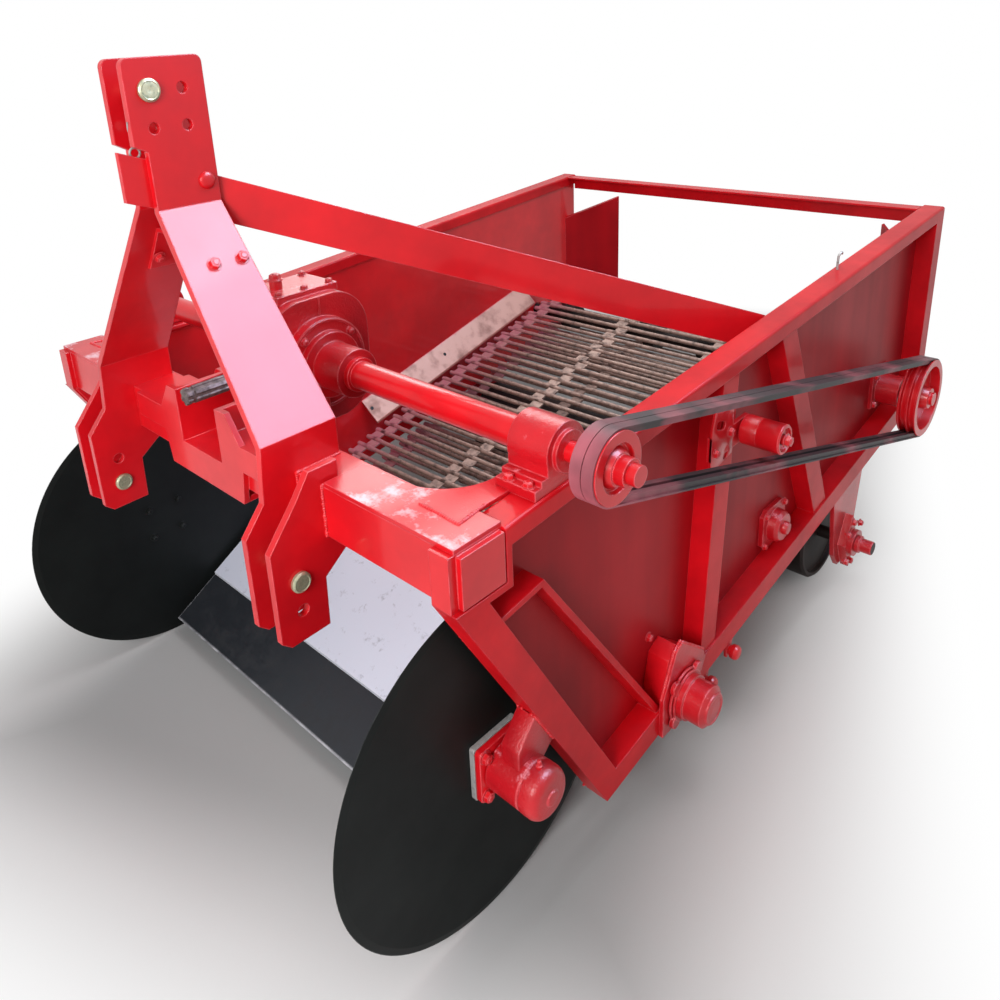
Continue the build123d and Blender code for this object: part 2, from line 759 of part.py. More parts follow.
def web_stretch(first, count):
    """Rods and links of one stretch; the last links end at the next stretch's first rod."""
    pieces = [rod(first + k) for k in range(count)]
    pieces += [link_plate(first + k, x) for k in range(count) for x in link_x]
    y, z = rod_places[(first + count) % rod_count]
    return Part() + pieces - bar_x(rod_r + seat, -rod_half - 1, rod_half + 1, y, z)


rods_below = int((2 * web_run + math.pi * web_r) / rod_pitch) + 1 - rods_on_run - rods_on_turn
save("web_upper_run", web_place * web_stretch(0, rods_on_run))
save("web_rear_turn", web_place * web_stretch(rods_on_run, rods_on_turn))
save("web_lower_run", web_place * web_stretch(rods_on_run + rods_on_turn, rods_below))
rods_ahead = rod_count - rods_on_run - rods_on_turn - rods_below
save("web_front_turn", web_place * web_stretch(rod_count - rods_ahead, rods_ahead))

roller_r = web_r - rod_r - seat
for name, y, z, x0, x1 in (
    ("web_front_roller", web_front_y, web_front_z, -frame_half - 52, frame_half + 52),
    ("web_rear_roller", web_rear_y, web_rear_z, -frame_half - 25, stub_end - 1),
):
    roller = bar_x(roller_shaft_r, x0, x1, y, z)
    for x in sprocket_x:
        roller += bar_x(roller_r, x - 22, x + 22, y, z)
    save(name, roller)

# Roller under the upper run, in flanged bearings on the panels
mid_shaft_half = tube_x + 46
mid_roller = bar_x(mid_shaft_r, -mid_shaft_half, mid_shaft_half, mid_y, mid_z)
mid_roller += bar_x(mid_roller_r, -rod_half, rod_half, mid_y, mid_z)
save("web_mid_roller", mid_roller)
mid_flange = [(-58, -40), (-40, -54), (40, -54), (58, -40), (58, 40), (40, 54), (-40, 54), (-58, 40)]
mid_bearing = side_prism([(mid_y + y, mid_z + z) for y, z in mid_flange], tube_x, tube_x + 12)
mid_bearing += turned([(tube_x, 0), (tube_x, 44), (tube_x + 30, 40), (tube_x + 38, 34), (tube_x + 38, 0)], mid_y, mid_z)
mid_bearing -= bar_x(mid_shaft_r + running_gap, *hole_x, mid_y, mid_z)
both("mid_bearing", mid_bearing)

# Front roller bearings: bracket plate, flange and capped housing outside the frames
bracket_x = (frame_half, frame_half + 10)
front_bracket = side_prism(
    [(545, 150), (640, 150), (712, 252), (700, 280), (612, 352), (590, 340), (545, 245)], *bracket_x
)
front_bearing = front_bracket + bar_x(50, bracket_x[1], frame_half + 35, web_front_y, web_front_z)
cap = [(35, 0), (35, 46), (72, 46), (82, 32), (84, 12), (84, 0)]
front_bearing += turned([(frame_half + x, r) for x, r in cap], web_front_y, web_front_z)
front_bearing -= bar_x(roller_shaft_r + running_gap, frame_half - 10, frame_half + 53, web_front_y, web_front_z)
both("front_bearing", front_bearing)

# Rear shaft bearings: the +X one also holds the driven pulley's stub
rear_bearing = box((tube_x, tube_x + 10), (web_rear_y - 62, web_rear_y + 62), (web_rear_z - 50, web_rear_z + 62))
rear_bearing += bar_x(45, tube_x + 10, frame_half + 22, web_rear_y, web_rear_z)
rear_left = rear_bearing - bar_x(roller_shaft_r + running_gap, *hole_x, web_rear_y, web_rear_z)
rear_right = rear_bearing - bar_x(roller_shaft_r + running_gap, hole_x[0], stub_end - 0.5, web_rear_y, web_rear_z)
rear_right -= bar_x(cross_shaft_r + running_gap, stub_end - 0.5, hole_x[1], web_rear_y, web_rear_z)
both("rear_bearing", rear_right, mirror(rear_left, about=Plane.YZ))

# Side strips from the panels down to the edges of the web
strip_x = (panel_x[0], rod_half + 8)
strip_face = make_face(
    Polyline((strip_x[0], 134), (strip_x[0], 142), (strip_x[1], 74), (strip_x[1], 66), close=True)
)
strip = extrude(Plane((0, 300, 0), x_dir=(1, 0, 0), z_dir=(0, 1, 0)) * strip_face.mirror(Plane.XZ), 850)
both("side_strip", web_place * strip)

# Rear drum on a through shaft in flanged bearings
drum_end = drum_half - 12
drum = turned(
    [
        (-drum_end, 0),
        (-drum_end, drum_r - 16),
        (-drum_half, drum_r - 14),
        (-drum_half, drum_r - 6),
        (-drum_half + 6, drum_r),
        (drum_half - 6, drum_r),
        (drum_half, drum_r - 6),
        (drum_half, drum_r - 14),
        (drum_end, drum_r - 16),
        (drum_end, 0),
    ],
    drum_y,
    drum_r,
)
drum += bar_x(drum_shaft_r, -frame_half - 78, frame_half + 78, drum_y, drum_r)
save("rear_drum", drum)
hanger_x = (frame_half - 16, frame_half - 4)
flange_x = (hanger_x[1], frame_half + 18)
hanger = side_prism(
    [
        (drum_y - 95, bottom_z(drum_y - 95)),
        (drum_y - 58, drum_r - 30),
        (drum_y - 26, drum_r - 74),
        (drum_y + 26, drum_r - 74),
        (drum_y + 58, drum_r - 30),
        (drum_y + 95, bottom_z(drum_y + 95)),
    ],
    *hanger_x,
)
diamond = [(drum_y - 40, drum_r), (drum_y, drum_r - 84), (drum_y + 40, drum_r), (drum_y, drum_r + 84)]
hanger += side_prism(diamond, *flange_x)
hanger += bar_x(38, flange_x[1], flange_x[1] + 16, drum_y, drum_r)
hanger -= bar_x(drum_shaft_r + running_gap, *hole_x, drum_y, drum_r)
both("drum_hanger", hanger)
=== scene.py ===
"""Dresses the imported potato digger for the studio: finishes, fasteners, drive, rod web and welds."""

import logging
import math
from dataclasses import dataclass, field
from enum import Enum
from functools import cache
from typing import Sequence

import bmesh
import bpy
from mathutils import Matrix, Vector


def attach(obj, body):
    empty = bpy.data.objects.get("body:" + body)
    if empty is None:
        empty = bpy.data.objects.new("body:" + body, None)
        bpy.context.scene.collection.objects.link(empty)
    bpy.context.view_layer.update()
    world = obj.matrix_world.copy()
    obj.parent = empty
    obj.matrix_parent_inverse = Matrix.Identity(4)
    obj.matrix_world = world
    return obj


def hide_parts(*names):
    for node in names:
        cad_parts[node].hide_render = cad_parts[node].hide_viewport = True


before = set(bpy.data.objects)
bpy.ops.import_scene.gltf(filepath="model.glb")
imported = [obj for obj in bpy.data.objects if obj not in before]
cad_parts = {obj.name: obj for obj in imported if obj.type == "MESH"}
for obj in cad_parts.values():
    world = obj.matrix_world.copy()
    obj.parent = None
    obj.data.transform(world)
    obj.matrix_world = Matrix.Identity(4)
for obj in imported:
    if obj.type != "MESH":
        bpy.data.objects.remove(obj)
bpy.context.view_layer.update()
LOG = logging.getLogger("digger")

# The row frame's origin is the tip of the input shaft, this far before the beam and above the ground
TIP_Y = -0.030
SHAFT_Z = 0.935
# Corners of a piece closer than this, in millimetres, are one corner
SAME_MM = 0.01
# Shafts of the web's rollers in the machine's side plane, in millimetres
FRONT_ROLLER = (621.0, 217.0)
REAR_ROLLER = (1798.0, 505.0)

Point = Sequence[float]


def at(x: float, y: float, z: float) -> Vector:
    """Turns a place in millimetres, from the beam face and the ground, to the row frame in metres."""
    return Vector((x / 1000, y / 1000 - TIP_Y, z / 1000 - SHAFT_Z))


def linear(code: str) -> tuple[float, float, float, float]:
    """Turns an sRGB hex colour to linear light.

    Args:
        code: Six hex digits, without a hash.

    Returns:
        Linear red, green, blue and an alpha of 1.
    """
    values = [int(code[i : i + 2], 16) / 255 for i in (0, 2, 4)]
    red, green, blue = (v / 12.92 if v <= 0.04045 else ((v + 0.055) / 1.055) ** 2.4 for v in values)
    return red, green, blue, 1.0


def stand(name: str, data: bpy.types.ID) -> bpy.types.Object:
    """Makes an object and links it into the scene.

    Args:
        name: The object's name.
        data: Its mesh, lamp or camera.

    Returns:
        The new object.
    """
    thing = bpy.data.objects.new(name, data)
    bpy.context.scene.collection.objects.link(thing)
    return thing


def mark(mesh: bpy.types.Mesh, name: str, domain: str, values: Sequence[float | Point]) -> None:
    """Stores a number or a vector on each point or edge of a mesh.

    Args:
        mesh: The mesh.
        name: The attribute's name.
        domain: POINT or EDGE.
        values: A number or a vector for each.
    """
    if isinstance(values[0], float):
        mesh.attributes.new(name, "FLOAT", domain).data.foreach_set("value", values)
    else:
        rows = mesh.attributes.new(name, "FLOAT_VECTOR", domain).data
        rows.foreach_set("vector", [v for row in values for v in row])


class Nodes:
    """A node tree that is being built."""

    def __init__(self, tree: bpy.types.NodeTree) -> None:
        """Takes the tree to build on."""
        self.tree = tree

    def add(self, kind: str, inputs: dict | None = None, **settings: object) -> bpy.types.Node:
        """Adds a node with its settings and its input values or links.

        Args:
            kind: The node's type name.
            inputs: What feeds it, as feed takes it.
            settings: The node's own options.

        Returns:
            The new node.
        """
        node = self.tree.nodes.new(kind)
        for name, value in settings.items():
            setattr(node, name, value)
        self.feed(node, inputs or {})
        return node

    def feed(self, node: bpy.types.Node, inputs: dict) -> None:
        """Sets or links the inputs of a node.

        Args:
            node: The node.
            inputs: Values, output sockets or nodes, by input name or number. A node stands for its first
                output in use, and a list links each of its members.
        """
        for key, value in inputs.items():
            for source in value if isinstance(value, list) else [value]:
                if isinstance(source, bpy.types.Node):
                    source = next(socket for socket in source.outputs if socket.enabled)
                if isinstance(source, bpy.types.NodeSocket):
                    self.tree.links.new(source, node.inputs[key])
                else:
                    node.inputs[key].default_value = source


class Swatch(Nodes):
    """A material in the making: its shader, and the place on the machine that its patterns follow."""

    def __init__(self, name: str) -> None:
        """Starts the material.

        Args:
            name: The material's name.
        """
        self.material = bpy.data.materials.new(name)
        self.material.use_nodes = True
        super().__init__(self.material.node_tree)
        self.shader = self.tree.nodes["Principled BSDF"]
        self.place = self.add("ShaderNodeTexCoord").outputs["Object"]

    def rim(self, edge_mm: float) -> tuple[bpy.types.Node, bpy.types.Node]:
        """Finds sharp edges, where a normal rounded over them turns from the face's own.

        Args:
            edge_mm: Radius of the rounding in millimetres.

        Returns:
            The rounded normal, and a mask that is 1 on edges and 0 on faces.
        """
        soft = self.add("ShaderNodeBevel", {"Radius": edge_mm / 1000}, samples=4)
        face = self.add("ShaderNodeNewGeometry").outputs["Normal"]
        same = self.add("ShaderNodeVectorMath", {0: soft, 1: face}, operation="DOT_PRODUCT")
        return soft, self.add("ShaderNodeMapRange", {"Value": same, "From Min": 0.985, "From Max": 0.86})

    def lay(
        self, under: bpy.types.Node, over: str, where: bpy.types.Node, broken: bpy.types.Node, strength: float
    ) -> bpy.types.Node:
        """Lays a colour over another in broken patches.

        Args:
            under: The colour beneath.
            over: Hex code of the colour on top.
            where: Mask of the places that it reaches.
            broken: Pattern that breaks it up there.
            strength: How much of it shows.

        Returns:
            The mixed colour.
        """
        mask = self.add("ShaderNodeMath", {0: where, 1: broken}, operation="MULTIPLY")
        mask = self.add("ShaderNodeMath", {0: mask, 1: strength}, operation="MULTIPLY", use_clamp=True)
        return self.add("ShaderNodeMix", {"Factor": mask, "A": under, "B": linear(over)}, data_type="RGBA")

    def ready(self, inputs: dict) -> bpy.types.Material:
        """Feeds the shader and gives the material."""
        self.feed(self.shader, inputs)
        return self.material


class Slot(Enum):
    """Material slots of the record."""

    RED = "red_enamel"
    BLACK = "black_enamel"
    STEEL = "bare_steel"
    BLADE = "dark_steel"
    DIRTY = "dirty_steel"
    ZINC = "zinc"
    RUBBER = "rubber"


@dataclass(frozen=True)
class Enamel:
    """Sprayed machine enamel over plate, tube or a casting."""

    name: str
    colour: str
    shade: str
    slot: Slot = Slot.RED
    # Colour of sharp edges: partly thin paint, partly a painted highlight
    edge: str = "FF7A84"
    edge_mm: float = 3.0
    # Chalky pink of the upper faces, and how much and how broad: partly wear, partly painted highlight
    worn_and_sheen: str = "F6C6D0"
    wear_and_sheen: float = 0.0
    wear_and_sheen_mm: float = 60.0
    streak: float = 0.0
    cast: float = 0.0
    roughness: float = 0.34
    coat: float = 0.28
    coat_roughness: float = 0.08
    gloss: float = 0.28

    def build(self) -> bpy.types.Material:
        """Builds the material: drifting tone, lighter edges that are partly a painted highlight, tops with
        chalky patches that are partly a painted sheen, orange peel or sand grain.

        Returns:
            The material.
        """
        swatch = Swatch(self.name)
        add, place = swatch.add, swatch.place
        # The tone drifts over about 200 mm
        tone = add("ShaderNodeTexNoise", {"Vector": place, "Scale": 5.0, "Detail": 4.0, "Roughness": 0.6})
        if self.streak > 0:
            # Upright streaks a hand wide: painted reflections running down the sheet
            tall = add("ShaderNodeMapping", {"Vector": place, "Scale": (1.0, 1.0, 0.08)})
            pulled = add("ShaderNodeTexNoise", {"Vector": tall, "Scale": 9.0, "Detail": 3.0})
            tone = add("ShaderNodeMix", {"Factor": self.streak, "A": tone, "B": pulled}, data_type="FLOAT")
        spread = add("ShaderNodeMapRange", {"Value": tone, "From Min": 0.32, "From Max": 0.68})
        shades = {"Factor": spread, "A": linear(self.shade), "B": linear(self.colour)}
        colour = add("ShaderNodeMix", shades, data_type="RGBA")
        # A lighter colour along sharp edges, in lengths of about 26 mm: partly paint drawn thin over a cut
        # edge, partly a painted highlight where the edge catches the light
        soft, rim = swatch.rim(self.edge_mm)
        uneven = add("ShaderNodeTexNoise", {"Vector": place, "Scale": 38.0, "Detail": 3.0})
        thin_paint_and_glint = add("ShaderNodeMapRange", {"Value": uneven, "From Min": 0.36, "From Max": 0.62, "To Min": 0.2})
        colour = swatch.lay(colour, self.edge, rim, thin_paint_and_glint, 0.8)
        matt, glossy = self.roughness + 0.1, self.roughness - 0.08
        rough = add("ShaderNodeMapRange", {"Value": tone, "To Min": matt, "To Max": glossy})
        if self.wear_and_sheen > 0:
            # Broad chalky pink patches with a ragged rim on the upper faces only: partly scuffs from boots
            # and sacks, partly a painted highlight where the light falls on the tops
            face = add("ShaderNodeSeparateXYZ", {"Vector": add("ShaderNodeNewGeometry").outputs["Normal"]})
            above = add("ShaderNodeMapRange", {"Value": face.outputs["Z"], "From Min": 0.35, "From Max": 0.8})
            cloud = {"Vector": place, "Scale": 1000 / self.wear_and_sheen_mm, "Detail": 6.0, "Roughness": 0.7}
            broad = add("ShaderNodeTexNoise", cloud)
            low, high = 0.66 - 0.3 * self.wear_and_sheen, 0.76 - 0.3 * self.wear_and_sheen
            torn = add("ShaderNodeMapRange", {"Value": broad, "From Min": low, "From Max": high})
            mask = add("ShaderNodeMath", {0: above, 1: torn}, operation="MULTIPLY")
            chalk_and_sheen = {"Factor": mask, "A": colour, "B": linear(self.worn_and_sheen)}
            colour = add("ShaderNodeMix", chalk_and_sheen, data_type="RGBA")
            rough = add("ShaderNodeMath", {0: mask, 1: 0.2, 2: rough}, operation="MULTIPLY_ADD")
        # Orange peel about 3 mm across, and the 7 mm grain of a sand mould on castings
        peel = add("ShaderNodeTexNoise", {"Vector": place, "Scale": 330.0, "Detail": 1.0})
        grain = add("ShaderNodeTexNoise", {"Vector": place, "Scale": 140.0, "Detail": 5.0, "Roughness": 0.65})
        height = add("ShaderNodeMath", {0: grain, 1: self.cast, 2: peel}, operation="MULTIPLY_ADD")
        relief = {"Strength": 0.06 + 0.44 * min(self.cast, 1.0), "Distance": 0.0007, "Height": height}
        bump = add("ShaderNodeBump", {**relief, "Normal": soft})
        return swatch.ready(
            {
                "Base Color": colour,
                "Roughness": rough,
                "Normal": bump,
                "Coat Normal": bump,
                "Specular IOR Level": self.gloss,
                "Coat Weight": self.coat,
                "Coat Roughness": self.coat_roughness,
            }
        )


@dataclass(frozen=True)
class Steel:
    """Bare steel, from clean machined to stained and dusty."""

    name: str
    colour: str
    stain: str
    slot: Slot = Slot.STEEL
    stained: float = 0.4
    stain_mm: float = 30.0
    metallic: float = 0.85
    roughness: float = 0.38
    brush: tuple[float, float, float] = (1.0, 1.0, 1.0)
    edge: str = ""
    edge_mm: float = 3.0
    spray: str = ""
    spray_from: float = 0.0
    spray_over: float = 0.16

    def build(self) -> bpy.types.Material:
        """Builds the material: brushed streaks in the gloss, stains that lie over them.

        Returns:
            The material.
        """
        swatch = Swatch(self.name)
        add, place = swatch.add, swatch.place
        cloud = {"Vector": place, "Scale": 1000 / self.stain_mm, "Detail": 8.0, "Roughness": 0.68}
        blot = add("ShaderNodeTexNoise", cloud)
        low, high = 0.66 - 0.4 * self.stained, 0.80 - 0.25 * self.stained
        mask = add("ShaderNodeMapRange", {"Value": blot, "From Min": low, "From Max": high})
        shades = {"Factor": mask, "A": linear(self.colour), "B": linear(self.stain)}
        colour = add("ShaderNodeMix", shades, data_type="RGBA")
        if self.edge:
            # Edges rubbed bright, in broken lengths
            colour = swatch.lay(colour, self.edge, swatch.rim(self.edge_mm)[1], blot, 1.5)
        if self.spray:
            # Overspray of red that fades inwards from the -X edge
            across = add("ShaderNodeSeparateXYZ", {"Vector": place}).outputs["X"]
            fade = {"From Min": self.spray_from, "From Max": self.spray_from + self.spray_over}
            near = add("ShaderNodeMapRange", {"Value": across, **fade, "To Min": 1.0, "To Max": 0.0})
            colour = swatch.lay(colour, self.spray, near, blot, 1.6)
        # Brush marks about 4 mm apart, pulled out along the way that the steel was rolled or drawn
        stretch = add("ShaderNodeMapping", {"Vector": place, "Scale": self.brush})
        streak = add("ShaderNodeTexNoise", {"Vector": stretch, "Scale": 260.0, "Detail": 3.0})
        glossy, matt = self.roughness - 0.08, self.roughness + 0.10
        rough = add("ShaderNodeMapRange", {"Value": streak, "To Min": glossy, "To Max": matt})
        rough = add("ShaderNodeMath", {0: mask, 1: 0.2, 2: rough}, operation="MULTIPLY_ADD")
        dulled = {"Value": mask, "To Min": self.metallic, "To Max": self.metallic * 0.35}
        metal = add("ShaderNodeMapRange", dulled)
        bump = add("ShaderNodeBump", {"Strength": 0.2, "Distance": 0.0005, "Height": streak})
        return swatch.ready({"Base Color": colour, "Roughness": rough, "Metallic": metal, "Normal": bump})


@dataclass(frozen=True)
class BeltRubber:
    """Moulded belt rubber with paint dusted on its back."""

    name: str = "moulded_belt_rubber"
    colour: str = "2B2325"
    spray: str = "B8636F"
    slot: Slot = Slot.RUBBER

    def build(self) -> bpy.types.Material:
        """Builds the material: matt black, with patches of dried red dust along the run.

        Returns:
            The material.
        """
        swatch = Swatch(self.name)
        add, place = swatch.add, swatch.place
        patch = add("ShaderNodeTexNoise", {"Vector": place, "Scale": 6.0, "Detail": 3.0})
        # Fibres in the cover, about 2 mm apart
        fibre = add("ShaderNodeTexNoise", {"Vector": place, "Scale": 420.0, "Detail": 2.0})
        # The sprayer stood by the small pulley, so the dust thins out towards the rear
        along = add("ShaderNodeSeparateXYZ", {"Vector": place}).outputs["Y"]
        fade = {"From Min": 0.24, "From Max": 0.40, "To Min": 0.34, "To Max": 0.0}
        front = add("ShaderNodeMapRange", {"Value": along, **fade})
        total = add("ShaderNodeMath", {0: patch, 1: front}, operation="ADD")
        mask = add("ShaderNodeMapRange", {"Value": total, "From Min": 0.49, "From Max": 0.80})
        shades = {"Factor": mask, "A": linear(self.colour), "B": linear(self.spray)}
        colour = add("ShaderNodeMix", shades, data_type="RGBA")
        bump = add("ShaderNodeBump", {"Strength": 0.25, "Distance": 0.0004, "Height": fibre})
        return swatch.ready(
            {"Base Color": colour, "Normal": bump, "Roughness": 0.5, "Specular IOR Level": 0.3}
        )


class Surface(Enum):
    """The finishes on this machine."""

    # Fabricated plate and tube in glossy red machine enamel
    RED = Enamel("glossy_red_machine_enamel", "E2121E", "C40D18")
    # The same enamel on the side frames, less polished, its colours a little darker as painted shade for
    # frames turned from the light
    FRAME = Enamel(
        "red_enamel_on_side_frame", "DC101C", "B80B16", roughness=0.4, coat=0.1, gloss=0.12, edge="E8505A"
    )
    # The same enamel on large sheets, darker as painted shade, and uneven in upright streaks of painted
    # reflection
    SHEET = Enamel(
        "red_enamel_on_sheet", "BA101A", "8E0C15", streak=0.65, roughness=0.42, coat=0.0, gloss=0.13,
        edge="E0525C",
    )
    # The same enamel over rough sand castings, chalky pink on top: partly dust, partly a painted sheen
    CAST = Enamel(
        "red_enamel_on_sand_casting", "D41220", "A60C17", cast=2.4, roughness=0.38, coat=0.4,
        coat_roughness=0.14, edge_mm=4.0, wear_and_sheen=0.22, wear_and_sheen_mm=34.0, worn_and_sheen="EE8F9C",
    )
    # Enamel walked on, its upper faces in chalky pink patches: partly scuffs, partly painted highlights
    SCUFFED = Enamel(
        "scuffed_red_enamel", "E01824", "C4121E", wear_and_sheen=0.34, wear_and_sheen_mm=90.0, roughness=0.36, cast=0.5
    )
    # Black enamel on the discs, nearly matt, with grey rubbed edges
    BLACK = Enamel(
        "satin_black_enamel", "151817", "0D0F0E", Slot.BLACK, edge="4A4D4C", edge_mm=1.5, roughness=0.5,
        coat=0.0, gloss=0.13,
    )
    # Black enamel on the drum and the web's rollers, browned by soil
    DRUM = Enamel(
        "soiled_black_enamel", "2C1D1A", "171210", Slot.BLACK, edge="6B3A36", edge_mm=2.0, roughness=0.55,
        coat=0.0, gloss=0.2,
    )
    # Quenched share steel, blue-black with scratches along the soil's way
    BLADE = Steel(
        "hardened_share_blade_steel", "2E3136", "1C1D20", Slot.BLADE, stained=0.5, stain_mm=45.0,
        metallic=0.5, roughness=0.36, brush=(0.2, 1.0, 1.0), edge="B9B9BE", edge_mm=5.0,
    )
    # Bright mill plate with a few dark rubs
    PLATE = Steel(
        "bright_mill_steel_plate", "D6DAE8", "8E8D98", stained=0.2, stain_mm=34.0, metallic=0.3,
        roughness=0.42, brush=(0.3, 1.0, 1.0), edge="F2F2F4", edge_mm=4.0,
    )
    # Drawn rod and flat links under dried soil, dusted with red at the far end
    ROD = Steel(
        "stained_drawn_steel_rod", "9C8377", "58443B", Slot.DIRTY, stained=0.5, stain_mm=20.0, metallic=0.3,
        roughness=0.5, brush=(0.1, 1.0, 1.0), spray="C0687C", spray_from=-0.60, spray_over=0.2,
    )
    # Rolled strip with a film of dry soil
    STRIP = Steel(
        "bare_rolled_steel_strip", "B48876", "94695B", Slot.DIRTY, stained=0.4, stain_mm=90.0, metallic=0.2,
        roughness=0.55, brush=(1.0, 0.2, 1.0), edge="C24A50", edge_mm=5.0,
    )
    # Turned shaft steel with brown handling stains
    TURNED = Steel(
        "turned_shaft_steel", "726463", "3A2C2A", stained=0.6, stain_mm=14.0, metallic=0.5, roughness=0.5
    )
    # Plain edge of flame-cut plate, left grey
    CUT = Steel("flame_cut_steel_edge", "A9A6A4", "7C7775", stain_mm=12.0, metallic=0.3, roughness=0.5)
    # Fastener zinc with its yellow-green passivation
    ZINC = Steel(
        "yellow_passivated_zinc", "B9B79A", "7F8A72", Slot.ZINC, stained=0.5, stain_mm=7.0, metallic=0.7,
        roughness=0.34,
    )
    # Belt rubber, matt black with red dust near the small pulley
    RUBBER = BeltRubber()


@cache
def finish(surface: Surface) -> bpy.types.Material:
    """Gives a finish's material, built once."""
    return surface.value.build()


def dress(mesh: bpy.types.Mesh, surface: Surface) -> None:
    """Gives a mesh one finish."""
    mesh.materials.clear()
    mesh.materials.append(finish(surface))


class Axis(Enum):
    """The three directions that turned shapes follow."""

    ACROSS = (1.0, 0.0, 0.0)
    ALONG = (0.0, 1.0, 0.0)
    UP = (0.0, 0.0, 1.0)


@dataclass
class Stock:
    """Raw metal for one piece, cut, turned and bent in design millimetres."""

    mesh: bmesh.types.BMesh = field(default_factory=bmesh.new)

    def prism(self, outline: Sequence[Point], sweep: Point) -> None:
        """Adds a flat outline carried along a straight line.

        Args:
            outline: Corner points of the face that the sweep starts from.
            sweep: The way and distance that it is carried.
        """
        near = [self.mesh.verts.new(Vector(p)) for p in outline]
        far = [self.mesh.verts.new(Vector(p) + Vector(sweep)) for p in outline]
        self.mesh.faces.new(near)
        self.mesh.faces.new(far[::-1])
        for i, corner in enumerate(near):
            j = (i + 1) % len(near)
            self.mesh.faces.new((corner, near[j], far[j], far[i]))

    def plate(self, outline: Sequence[Point], holes: Sequence[Sequence[Point]], sweep: Point) -> None:
        """Adds a plate with holes cut through it.

        Args:
            outline: Corner points of its face.
            holes: Corner points of each hole.
            sweep: Its thickness, as a way and distance.
        """
        edges = []
        for loop in (outline, *holes):
            rim = [self.mesh.verts.new(Vector(p)) for p in loop]
            edges += [self.mesh.edges.new((rim[k], rim[(k + 1) % len(rim)])) for k in range(len(rim))]
        filled = bmesh.ops.triangle_fill(self.mesh, edges=edges, use_beauty=True)
        faces = [g for g in filled["geom"] if isinstance(g, bmesh.types.BMFace)]
        grown = bmesh.ops.extrude_face_region(self.mesh, geom=faces, use_keep_orig=True)
        moved = [g for g in grown["geom"] if isinstance(g, bmesh.types.BMVert)]
        bmesh.ops.translate(self.mesh, verts=moved, vec=Vector(sweep))

    def ring(
        self, middle: Vector, across: Vector, third: Vector, radius: float, sides: int
    ) -> list[bmesh.types.BMVert]:
        """Adds the corners of a circle.

        Args:
            middle: Its centre.
            across: Unit vector in its plane, towards the first corner.
            third: Unit vector in its plane, square to that.
            radius: Its radius.
            sides: How many corners it has.

        Returns:
            The corners in order.
        """
        turns = (2 * math.pi * k / sides for k in range(sides))
        places = (middle + (across * math.cos(t) + third * math.sin(t)) * radius for t in turns)
        return [self.mesh.verts.new(place) for place in places]

    def skin(self, rings: Sequence[Sequence[bmesh.types.BMVert]], sides: int) -> None:
        """Joins each ring to the next with faces.

        Args:
            rings: Corners of each ring, or one point where the shape closes on its axis.
            sides: How many faces go round.
        """
        for near, far in zip(rings, rings[1:]):
            for k in range(sides):
                n = (k + 1) % sides
                corners = [near[k % len(near)], near[n % len(near)], far[n % len(far)], far[k % len(far)]]
                unique = list(dict.fromkeys(corners))
                if len(unique) > 2:
                    self.mesh.faces.new(unique)

    def turn(
        self, profile: Sequence[tuple[float, float]], centre: Point, axis: Point, sides: int = 48
    ) -> None:
        """Adds a turned shape.

        Args:
            profile: (distance along, radius) pairs from axis to axis. One that starts off the axis
                closes on itself as a ring.
            centre: The point that distances along count from.
            axis: The axis of the lathe.
            sides: How many faces go round.
        """
        middle, along = Vector(centre), Vector(axis).normalized()
        across = along.orthogonal().normalized()
        third = along.cross(across)
        loop = [*profile, profile[0]] if profile[0][1] else profile
        rings = []
        for distance, radius in loop:
            place = middle + along * distance
            if radius:
                rings.append(self.ring(place, across, third, radius, sides))
            else:
                rings.append([self.mesh.verts.new(place)])
        self.skin(rings, sides)

    def round_bar(self, path: Sequence[Point], radius: float, sides: int) -> None:
        """Adds a bent round bar, its ends closed.

        Args:
            path: Points along its middle.
            radius: Its radius.
            sides: How many faces go round.
        """
        points = [Vector(p) for p in path]
        last = len(points) - 1
        side = (points[1] - points[0]).normalized().orthogonal().normalized()
        rings = []
        for i, point in enumerate(points):
            tangent = (points[min(i + 1, last)] - points[max(i - 1, 0)]).normalized()
            side = (side - tangent * side.dot(tangent)).normalized()
            rings.append(self.ring(point, side, tangent.cross(side), radius, sides))
        self.skin(rings, sides)
        self.mesh.faces.new(rings[0][::-1])
        self.mesh.faces.new(rings[-1])

    def piece(
        self,
        name: str,
        surface: Surface,
        body: str = "frame",
        replaces: Sequence[str] = (),
        smooth: float = 32.0,
        bevel: float = 0.0,
    ) -> None:
        """Finishes the stock as one piece of the machine.

        Args:
            name: The piece's name.
            surface: Its finish.
            body: The body that it rides on.
            replaces: CAD nodes that it stands for.
            smooth: Angle in degrees up to which faces shade as one.
            bevel: Width in millimetres of a rounding on sharp edges.
        """
        bmesh.ops.remove_doubles(self.mesh, verts=self.mesh.verts, dist=SAME_MM)
        bmesh.ops.recalc_face_normals(self.mesh, faces=self.mesh.faces)
        mesh = bpy.data.meshes.new(name)
        self.mesh.transform(Matrix.Translation(at(0, 0, 0)) @ Matrix.Scale(0.001, 4))
        self.mesh.to_mesh(mesh)
        self.mesh.free()
        piece = stand(name, mesh)
        if bevel > 0:
            rounding = piece.modifiers.new("rounding", "BEVEL")
            rounding.width = bevel / 1000
            rounding.segments = 2
            rounding.limit_method = "ANGLE"
            rounding.angle_limit = math.radians(40)
            bake(piece)
        fit(piece, surface, body, replaces, smooth)


def bake(piece: bpy.types.Object) -> None:
    """Turns a piece's modifiers into plain mesh.

    Args:
        piece: The object.
    """
    seen = piece.evaluated_get(bpy.context.evaluated_depsgraph_get())
    mesh = bpy.data.meshes.new_from_object(seen)
    piece.modifiers.clear()
    piece.data = mesh


